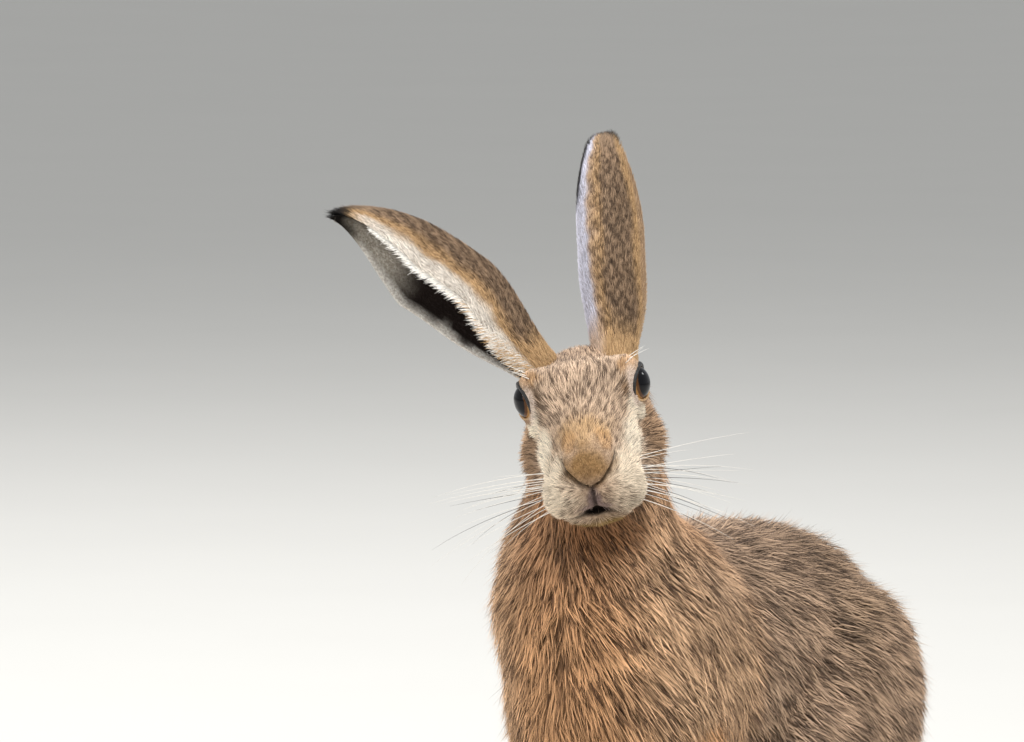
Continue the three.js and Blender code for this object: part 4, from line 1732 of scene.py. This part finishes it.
def roots_on(skin: Skin, rng: np.random.Generator, more: float = 1.0) -> Roots:
    """Roots over a skin, as close as its coat grows.

    Args:
        skin: the skin.
        rng: the random draw.
        more: scales how many there are.
    Returns:
        The roots, with nothing on the map yet.
    """
    corners, shares = skin.surface.sample(rng, skin.close * more)
    whole = np.concatenate([skin.surface.points, skin.surface.normals(), skin.columns()], 1)
    found = np.einsum("nkc,nk->nc", whole[corners], shares)
    points, normals, lie, tone = (found[:, k : k + 3] for k in (0, 3, 6, 9))
    dark, length, width, lift, lay, _ = found[:, 12:].T
    spot = np.zeros((len(points), 2))
    return Roots(points, unit(normals), unit(lie), tone, dark, length, width, lift, lay, spot)


@dataclass
class Coat:
    """All the tufts of the hare."""

    place: HeadPlace
    body: Body
    outer_tufts: int = 12600
    inner_tufts: int = 8200
    fringe_tufts: int = 3600
    guard_share: float = 1.22
    guard_scatter: float = 1.1
    guard_rise: float = 0.62
    deepest_root: float = -1.0
    deepest_ear_root: float = -0.3
    sole_clear: float = 1.0
    quick_share: float = 0.35

    def body_pieces(self, skin: Skin, head_form: Form) -> list[Tufts]:
        """The coat of the body, one piece for each region and side.

        Args:
            skin: the body's skin.
            head_form: the flesh of the head, inside which nothing grows.
        Returns:
            The pieces.
        """
        roots = roots_on(skin, np.random.default_rng(SEED), self.share())
        outside = head_form.at(roots.points) > self.deepest_root
        roots = roots.only(outside & (roots.points[:, 2] > self.sole_clear))
        near = self.body.nearest(roots.points)
        left = roots.points[:, 0] > MIDLINE
        unwraps = {
            "NECK": Unwrap((MIDLINE, -100, 160), (26, -125, 240)),
            "TAIL": Unwrap((MIDLINE, 150, 92), (MIDLINE, 192, 30)),
        }
        trunk = Unwrap((MIDLINE, -110, 120), (MIDLINE, 160, 110))
        short = (Region.FOREPAW, Region.HIND_FOOT, Region.FORELEG, Region.SHANK)
        slots = {"NECK": "chest_fur", "CHEST": "chest_fur", "FORELEG": "chest_fur", "TAIL": "tail_fur"}
        slots |= {"FOREPAW": "foot_fur", "HIND_FOOT": "foot_fur"}
        pieces = []
        for i, region in enumerate(Region):
            for side, on_side in (("left", left), ("right", ~left)):
                part = roots.only((near == i) & on_side)
                if not len(part.points):
                    continue
                straight = region in short
                unwrap = Unwrap.along(part.points) if straight else unwraps.get(region.name, trunk)
                part.spot = unwrap.spots(part.points)
                pieces.append(
                    Tufts(
                        f"coat_{region.name.lower()}_{side}",
                        slots.get(region.name, "back_fur"),
                        part,
                        Cut.STRAIGHT if straight else Cut.BENT,
                        clump=0.0 if straight else 0.5,
                        sink=0.6 if straight else 1.2,
                    )
                )
                if not straight:
                    pieces.append(self.guard_hairs(pieces[-1]))
        return pieces

    def guard_hairs(self, under: Tufts) -> Tufts:
        """Thin straight hairs that rise through a piece of the coat, more of them dark.

        Args:
            under: the piece.
        Returns:
            The piece of guard hairs.
        """
        rng = np.random.default_rng(SEED + len(under.roots.points))
        count = len(under.roots.points)
        part = under.roots.only(rng.choice(count, int(self.guard_share * count)))
        part.points = part.points + rng.normal(size=part.points.shape) * self.guard_scatter
        part.length, part.width = part.length * 1.08, part.width * 0.46
        part.lift = part.lay = part.lift * self.guard_rise
        part.dark = np.clip(part.dark * 1.7, 0, 1)
        name = under.name.replace("coat", "guard")
        return Tufts(name, under.slot, part, Cut.STRAIGHT, stray=0.14, sink=1.6)

    def head_pieces(self, skin: Skin, body_form: Form) -> list[Tufts]:
        """The coat of the head, its two sides.

        Args:
            skin: the head's skin.
            body_form: the flesh of the body, inside which nothing grows.
        Returns:
            The pieces.
        """
        roots = roots_on(skin, np.random.default_rng(SEED + 1), self.share())
        roots = roots.only(body_form.at(roots.points) > self.deepest_root)
        local = self.place.to_head(roots.points)
        pieces = []
        for side, on_side in (("left", local[:, 0] > 0), ("right", local[:, 0] <= 0)):
            part = roots.only(on_side)
            part.spot = Unwrap((0, -50, -14), (0, 60, -20)).spots(local[on_side])
            name = f"coat_face_{side}"
            pieces.append(Tufts(name, "face_fur", part, Cut.STRAIGHT, stray=0.13, sink=0.3, grain=1.6))
        return pieces

    def ear_piece(self, ear: EarShape, head_form: Form) -> Tufts:
        """The short coat on both faces of an ear and the long fringe on its front margin.

        Args:
            ear: the ear.
            head_form: the flesh of the head, inside which nothing grows.
        Returns:
            The piece.
        """
        rng = np.random.default_rng(SEED + 2 + ear.side)
        parts = []
        for face in Face:
            outer = face is Face.OUTER
            count = int((self.outer_tufts if outer else self.inner_tufts) * self.share())
            rear_end = 0.9 if outer else 0.985
            s, across = rng.uniform(-0.06, 0.985, count), ear.side * rng.uniform(-rear_end, 1, count)
            part = self.on_ear(ear, face, s, across)
            part.length = mix(4.6, 3.2, s) * (1.0 if outer else 0.7) + 1.5 * smoothstep(0.88, 0.97, s)
            splay = (across * smoothstep(0.82, 0.96, s))[:, None] * (ear.axes()[1] @ self.place.axes().T)
            part.lie = unit(part.lie + 0.6 * splay)
            part.length = part.length * mix(1.0, 0.7, smoothstep(0.8, 1.0, -across * ear.side))
            parts.append(part)
        count = int(self.fringe_tufts * self.share())
        s = rng.uniform(0.0, 0.84, count)
        fringe = self.on_ear(ear, Face.OUTER, s, ear.side * rng.uniform(0.76, 1.0, count))
        fringe.length = ear.fringe * np.sin(math.pi * np.clip(s + 0.1, 0, 1)) ** 0.6 + 1.5
        rear = ear.axes()[1] * -ear.side @ self.place.axes().T
        fringe.lie = unit(fringe.lie * 0.75 + rear * 0.2 + self.inward(ear) * 0.9)
        fringe.lift = np.full(count, 12.0)
        fringe.width = np.full(count, 0.5)
        pale = smoothstep(0.1, 0.45, rng.uniform(-0.2, 0.5, count) + s)[:, None]
        tone = mix(Tone.BUFF.linear(), ear.fringe_tone.linear(), pale)
        fringe.tone, fringe.dark = tone, np.zeros(count)
        parts.append(fringe)
        roots = Roots.together(parts)
        roots = roots.only(head_form.at(roots.points) > self.deepest_ear_root)
        name = f"coat_ear_{ear.name}"
        return Tufts(name, "ear_fur", roots, Cut.STRAIGHT, stray=0.16, sink=0.25, grain=1.9)

    def inward(self, ear: EarShape) -> Array:
        """The way from an ear's front margin over its opening, in the model."""
        return ear.axes()[2] @ self.place.axes().T

    def on_ear(self, ear: EarShape, face: Face, s: Array, across: Array) -> Roots:
        """Roots on one face of an ear.

        Args:
            ear: the ear.
            face: which face.
            s: the share of the length of each.
            across: where each is from margin to margin.
        Returns:
            The roots.
        """
        wall = face.value
        points = ear.at(s, across, wall)
        along = ear.at(s + 0.004, across, wall) - points
        beside = ear.at(s, across + 0.01, wall) - points
        normals = unit(np.cross(beside, along))
        outward = points - ear.at(s, across, 1 - wall)
        normals *= np.sign((normals * outward).sum(1, keepdims=True))
        tone, dark = ear.markings(s, across * ear.side, face, points)
        one = np.ones(len(s))
        half = 0.5 if face is Face.INNER else 0.0
        spot = np.stack([0.01 + 0.48 * (across + 1) / 2 + half, 0.01 + 0.98 * s], 1)
        return Roots(points, normals, unit(along), tone, dark, 4 * one, 0.42 * one, 20 * one, 6 * one, spot)

    def share(self) -> float:
        """The share of the tufts that are made: all of them."""
        return 1.0


# The eyes, lids and whiskers.
def tube(path: Array, radii: Array, sides: int, closed: bool) -> Surface:
    """A round tube along a path.

    Args:
        path: the points of its middle line.
        radii: its radius at each.
        sides: how many sides it has.
        closed: whether it ends where it starts; otherwise its ends are capped.
    Returns:
        The surface.
    """
    ahead = np.roll(path, -1, 0) - np.roll(path, 1, 0)
    if not closed:
        ahead[0], ahead[-1] = path[1] - path[0], path[-1] - path[-2]
    ahead = unit(ahead)
    middle = path.mean(0)
    guide = path - middle if closed else np.tile(unit(np.cross(ahead[0], [0.3, 0.2, 0.9])), (len(path), 1))
    first = unit(guide - (guide * ahead).sum(1, keepdims=True) * ahead)
    second = np.cross(ahead, first)
    angle = np.linspace(0, 2 * math.pi, sides, endpoint=False)
    ring = np.cos(angle)[None, :, None] * first[:, None] + np.sin(angle)[None, :, None] * second[:, None]
    points = (path[:, None] + radii[:, None, None] * ring).reshape(-1, 3)
    rows = len(path) if closed else len(path) - 1
    i, j = np.meshgrid(np.arange(rows), np.arange(sides), indexing="ij")
    a, b = i * sides + j, i * sides + (j + 1) % sides
    c, d = ((i + 1) % len(path)) * sides + (j + 1) % sides, ((i + 1) % len(path)) * sides + j
    faces = [np.stack([a.ravel(), b.ravel(), c.ravel(), d.ravel()], 1)]
    if not closed:
        faces.append(np.arange(sides)[None, ::-1])
        faces.append((np.arange(sides) + (len(path) - 1) * sides)[None])
    return Surface(points, faces)


@dataclass
class Eyes:
    """Both eyes: finer balls in place of the plain ones, and the rims of the lids."""

    place: HeadPlace
    rows: int = 64
    columns: int = 96
    gap: float = 0.12
    lid_inside: float = 0.97
    lid_sides: int = 10
    lower_lid: float = 0.6
    upper_lid: float = 1.15

    def build_ball(self, name: str, eye: EyeShape, finish: bpy.types.Material) -> bpy.types.Object:
        """One eyeball with its cornea standing a little proud.

        Args:
            name: left or right.
            eye: its shape.
            finish: its material.
        Returns:
            The object.
        """
        turn = np.linspace(0, math.pi, self.rows + 1)[1:-1]
        round_ = np.linspace(0, 2 * math.pi, self.columns, endpoint=False)
        t, a = (x.ravel() for x in np.meshgrid(turn, round_, indexing="ij"))
        local = np.stack([np.sin(t) * np.cos(a), np.sin(t) * np.sin(a), np.cos(t)], 1)
        local = np.concatenate([[[0, 0, 1]], local, [[0, 0, -1]]])
        sight = local[:, 2]
        radius = eye.radius - self.gap + eye.cornea * smoothstep(0.62, 1.0, sight)
        points = self.place.from_head(eye.centre() + (local * radius[:, None]) @ eye.axes())
        n = self.columns
        i, j = (x.ravel() for x in np.meshgrid(np.arange(self.rows - 2), np.arange(n), indexing="ij"))
        here, beside = 1 + i * n + j, 1 + i * n + (j + 1) % n
        quads = np.stack([here, here + n, beside + n, beside], 1)
        k = np.arange(n)
        after = (k + 1) % n
        last = 1 + (self.rows - 2) * n
        front = np.stack([0 * k, 1 + k, 1 + after], 1)
        rear = np.stack([0 * k + len(points) - 1, last + after, last + k], 1)
        surface = Surface(points, [quads, np.concatenate([front, rear])])
        surface.face_away_from(self.place.from_head(eye.centre()))
        made = make_object(f"eyeball_{name}", surface)
        set_values(made.data, "sight", sight)
        made.data.materials.append(finish)
        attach(made, "root")
        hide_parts(f"eye_{name}")
        return made

    def build_lid(self, name: str, eye: EyeShape, finish: bpy.types.Material) -> bpy.types.Object:
        """The rim of the lids: dark above, with a pale line along the lower edge.

        Args:
            name: left or right.
            eye: the eye it closes round.
            finish: its material.
        Returns:
            The object.
        """
        angle = np.linspace(0, 2 * math.pi, self.columns, endpoint=False)
        path = self.place.from_head(eye.rim(self.columns, self.lid_inside))
        upper = smoothstep(-0.1, 0.5, np.sin(angle))
        surface = tube(path, mix(self.lower_lid, self.upper_lid, upper), self.lid_sides, True)
        surface.face_away_from(np.repeat(path, self.lid_sides, 0))
        made = make_object(f"lid_{name}", surface)
        dark = np.repeat(smoothstep(-0.35, 0.15, np.sin(angle)), self.lid_sides)[:, None]
        tone = mix(Tone.BUFF.linear(), Tone.BLACK.linear(), dark)
        set_values(made.data, "markings", tone)
        made.data.materials.append(finish)
        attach(made, "root")
        return made


@dataclass
class Whiskers:
    """The long hairs of the whisker pads and the brows."""

    place: HeadPlace
    each_side: int = 26
    rows: int = 4
    longest: float = 86.0
    brow_hairs: int = 3
    brow_length: float = 16.0
    dark_share: float = 0.22
    highest: float = -0.12
    thickness: float = 0.17
    reach: float = 98.0

    def build(self, finish: bpy.types.Material) -> bpy.types.Object:
        """All the whiskers as one mesh.

        Args:
            finish: their material.
        Returns:
            The object.
        """
        rng = np.random.default_rng(SEED + 9)
        surfaces, tones = [], []
        for side in (1, -1):
            for i in range(self.each_side):
                row, along = i % self.rows, (i // self.rows) / (self.each_side // self.rows)
                out, up = 9.5 + 2.1 * row + 3.5 * along, -25 - 3.4 * row + 2 * along
                start = np.array([out, 50 - 15 * along - row, up])
                way = np.array([1.0, -0.45 - 0.2 * along, -0.04 - 0.2 * row - 0.1 * side])
                way = way + 0.09 * rng.normal(size=3)
                way[2] = min(way[2], self.highest)
                surfaces.append(self.hair(start, way, self.longest * rng.uniform(0.5, 1.0), side, rng))
                tones.append(Tone.SOOT if rng.uniform() < self.dark_share else Tone.WHITE)
            for i in range(self.brow_hairs):
                start = np.array([21.5 + 0.6 * i, 8 - 4 * i, 12.5])
                way = np.array([0.9, 0.1 - 0.2 * i, 0.5]) + 0.1 * rng.normal(size=3)
                surfaces.append(self.hair(start, way, self.brow_length * rng.uniform(0.6, 1.0), side, rng))
                tones.append(Tone.WHITE)
        counts = [len(s.points) for s in surfaces]
        made = make_object("whiskers", joined(surfaces))
        tone = np.repeat(np.array([t.linear() for t in tones]), counts, axis=0)
        set_values(made.data, "markings", tone)
        set_values(made.data, "along", np.full(len(tone), 0.8))
        set_values(made.data, "tick", np.zeros(len(tone)))
        made.data.materials.append(finish)
        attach(made, "root")
        return made

    def hair(self, start: Array, way: Array, length: float, side: int, rng: np.random.Generator) -> Surface:
        """One whisker, bending down and back on its way out.

        Args:
            start: its root in the head's axes, on the left side.
            way: the way it sets out.
            length: its length.
            side: 1 for the left, -1 for the right.
            rng: the random draw.
        Returns:
            The surface, in the model.
        """
        bend = np.array([-0.1, -0.16, -0.14]) * rng.uniform(0.4, 1.6)
        t = np.linspace(0, 1, 12)[:, None]
        path = (start + unit(way) * length * t + bend * length * t**2) * [side, 1, 1]
        placed = self.place.from_head(path)
        over = np.abs(placed[:, 0]).max()
        if over > self.reach:
            return self.hair(start, way, length * 0.93, side, rng)
        return tube(placed, self.thickness * (1 - 0.85 * t[:, 0]), 4, False)


# The whole hare and its stage.
def united(base: bpy.types.Object, others: Sequence[bpy.types.Object]) -> None:
    """Joins other closed objects to a base by a union and takes them out of the scene.

    Args:
        base: the object that stays.
        others: the objects that become part of it.
    """
    for other in others:
        change = base.modifiers.new("join", "BOOLEAN")
        change.operation = "UNION"
        change.solver = "MANIFOLD"
        change.object = other
    bpy.context.view_layer.update()
    whole = bpy.data.meshes.new_from_object(base.evaluated_get(bpy.context.evaluated_depsgraph_get()))
    base.modifiers.clear()
    base.data = whole
    for other in others:
        bpy.data.objects.remove(other)


@dataclass
class Hide:
    """The one skin under all the fur."""

    body: Skin
    head: Skin
    ears: tuple[EarShape, EarShape]

    def build(self, finish: bpy.types.Material) -> bpy.types.Object:
        """Body, head and ears as one closed mesh, coloured as the coat over it.

        Args:
            finish: its material.
        Returns:
            The object.
        """
        ear_surfaces = [ear.surface() for ear in self.ears]
        made = make_object("skin", self.body.surface)
        parts = [make_object(f"part_{i}", s) for i, s in enumerate([self.head.surface, *ear_surfaces])]
        united(made, parts)
        mesh = made.data
        points = np.empty(len(mesh.vertices) * 3, np.float32)
        mesh.vertices.foreach_get("co", points)
        set_values(mesh, "markings", self.tones(points.reshape(-1, 3) / MM, ear_surfaces))
        log.info("skin: %d points, %d faces", len(mesh.vertices), len(mesh.polygons))
        mesh.shade_smooth()
        mesh.materials.clear()
        mesh.materials.append(finish)
        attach(made, "root")
        flesh = [name for region in Region for name in region.nodes()]
        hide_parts("head", "ear_left", "ear_right", *flesh)
        return made

    def tones(self, points: Array, ear_surfaces: Sequence[Surface]) -> Array:
        """The coat's colour at each point of the joined skin, from the nearest point of its parts.

        Args:
            points: the joined skin's points.
            ear_surfaces: the ears' skins.
        Returns:
            One colour for each point.
        """
        places = [self.body.surface.points, self.head.surface.points]
        tones = [self.body.tone, self.head.tone]
        for ear, surface in zip(self.ears, ear_surfaces):
            s, across = ear.grid()
            for face, half in zip(Face, np.split(surface.points, 2)):
                places.append(half)
                tones.append(ear.markings(s.ravel(), across.ravel() * ear.side, face, half)[0])
        return np.concatenate(tones)[nearest_of(np.concatenate(places), points)]


@dataclass
class Studio:
    """The floor, the lights and the camera.

    Its own lengths are metres, apart from the photograph's: scale is millimetres for a pixel at the eyes, and
    eyes_at is the pixel midway between the eyes.
    """

    place: HeadPlace
    azimuth: float = 25.0
    elevation: float = 5.0
    distance: float = 5.0
    width: int = 1024
    height: int = 742
    scale: float = 0.44
    eyes_at: tuple[float, float] = (582.0, 391.5)
    sensor: float = 36.0
    floor: float = 60.0
    lamp_aim: float = 0.2
    lamp_distance: float = 2.6
    sky: tuple[float, float, float, float] = (0.86, 0.88, 0.9, 1)
    sky_strength: float = 0.64

    def view_axes(self) -> tuple[Array, Array, Array]:
        """The camera's axes.

        Returns:
            The ways to the picture's right, up it and into it.
        """
        turn, rise = math.radians(self.azimuth), math.radians(self.elevation)
        right = np.array([math.cos(turn), math.sin(turn), 0.0])
        level = np.array([-math.sin(turn), math.cos(turn), 0.0])
        ahead = level * math.cos(rise) - np.array([0, 0, math.sin(rise)])
        return right, np.cross(right, ahead), ahead

    def build_camera(self) -> None:
        """A long lens at the photograph's angle, with the eyes where it has them."""
        right, up, ahead = self.view_axes()
        across = (self.width / 2 - self.eyes_at[0]) * self.scale
        down = (self.eyes_at[1] - self.height / 2) * self.scale
        aim = (np.array(self.place.middle) + across * right + down * up) * MM
        data = bpy.data.cameras.new("camera")
        data.sensor_width = self.sensor
        data.lens = data.sensor_width * self.distance / (self.width * self.scale * MM)
        data.clip_start, data.clip_end = 0.05, 100.0
        camera = bpy.data.objects.new("camera", data)
        camera.location = Vector(aim - ahead * self.distance)
        camera.rotation_euler = Vector(ahead).to_track_quat("-Z", "Y").to_euler()
        bpy.context.scene.collection.objects.link(camera)
        bpy.context.scene.camera = camera

    def build_light(self, name: str, azimuth: float, elevation: float, size: float, power: float) -> None:
        """A soft lamp that looks at the hare.

        Args:
            name: its name.
            azimuth: where it stands, from the camera's side, in degrees to the camera's right.
            elevation: how high it stands, in degrees.
            size: the side of its square face in metres.
            power: its strength in watts.
        """
        turn, rise = math.radians(self.azimuth + azimuth), math.radians(elevation)
        level = np.array([math.sin(turn), -math.cos(turn), 0.0])
        away = level * math.cos(rise) + np.array([0, 0, math.sin(rise)])
        data = bpy.data.lights.new(name, "AREA")
        data.size = size
        data.energy = power
        lamp = bpy.data.objects.new(name, data)
        lamp.location = Vector(np.array([0, 0, self.lamp_aim]) + self.lamp_distance * away)
        lamp.rotation_euler = Vector(-away).to_track_quat("-Z", "Y").to_euler()
        bpy.context.scene.collection.objects.link(lamp)

    def build(self) -> None:
        """The floor, the world, the lamps and the camera."""
        half = self.floor / 2 / MM
        square = np.array([[-half, -half, 0], [half, -half, 0], [half, half, 0], [-half, half, 0]], float)
        floor = make_object("floor", Surface(square, [np.array([[0, 1, 2, 3]])]))
        floor.data.materials.append(FloorFinish("floor_pale", roughness=0.85, specular=0.2).build())
        world = bpy.data.worlds.new("studio")
        world.use_nodes = True
        background = world.node_tree.nodes["Background"]
        background.inputs["Color"].default_value = self.sky
        background.inputs["Strength"].default_value = self.sky_strength
        bpy.context.scene.world = world
        bpy.context.scene.view_settings.view_transform = "Standard"
        self.build_light("key", 30, 54, 1.1, 54)
        self.build_light("fill", -48, 24, 1.8, 18)
        self.build_light("rim", -160, 50, 1.4, 34)
        self.build_light("side_right", 108, 38, 0.4, 7)
        self.build_light("side_left", -112, 42, 0.4, 7)
        self.build_light("catch", -70, 25, 0.16, 7)
        self.build_camera()


def main() -> None:
    """Builds the hare piece by piece."""
    logging.basicConfig(level=logging.INFO, format="%(message)s")
    for build_group in (hair_colour_group, underfur_group, iris_group):
        build_group()
    place = HeadPlace.found()
    Studio(place).build()
    # root sets the painted shade at the roots of the hairs
    hair = HairFinish("hair", roughness=0.6, specular=0.2, sheen=0.04, root=0.3).build()
    short_hair = HairFinish("short_hair", roughness=0.7, specular=0.15, sheen=0.03, root=0.5).build()
    skin_finish = SkinFinish("skin", roughness=0.8, specular=0.1).build()
    lid_finish = SkinFinish("lid", roughness=0.4, specular=0.5, shade=0.9).build()
    ears = (
        EarShape(place, "left", 1, outward=7, back=52, turn=168, bow=0, fringe=3.5, fringe_tone=Tone.BROWN),
        EarShape(place, "right", -1, outward=48, back=14, turn=66, bow=8),
    )
    body, head = Body(place), Head(place)
    body_form, head_form = body.form(), head.form()
    body_skin, head_skin = body.skin(body_form), head.skin(head_form)
    for name, part in (("body", body_skin), ("head", head_skin)):
        log.info("skin of the %s: %d points", name, len(part.surface.points))
    Hide(body_skin, head_skin, ears).build(skin_finish)
    coat = Coat(place, body)
    pieces = coat.body_pieces(body_skin, head_form) + coat.head_pieces(head_skin, body_form)
    pieces += [coat.ear_piece(ear, head_form) for ear in ears]
    for i, piece in enumerate(pieces):
        short = piece.slot in ("face_fur", "ear_fur", "foot_fur")
        piece.build(SEED + 100 + i, short_hair if short else hair)
    eyes = Eyes(place)
    wet = EyeFinish("wet_eye", roughness=0.08, specular=0.12, coat=0.2).build()
    for name, side in (("left", 1), ("right", -1)):
        eyes.build_ball(name, EyeShape(side), wet)
        eyes.build_lid(name, EyeShape(side), lid_finish)
    Whiskers(place).build(hair)
    horn = HornFinish("horn", roughness=0.4, specular=0.5).build()
    for name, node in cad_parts.items():
        if name.startswith("claw_"):
            node.data.materials.clear()
            node.data.materials.append(horn)


if __name__ == "__main__":
    main()
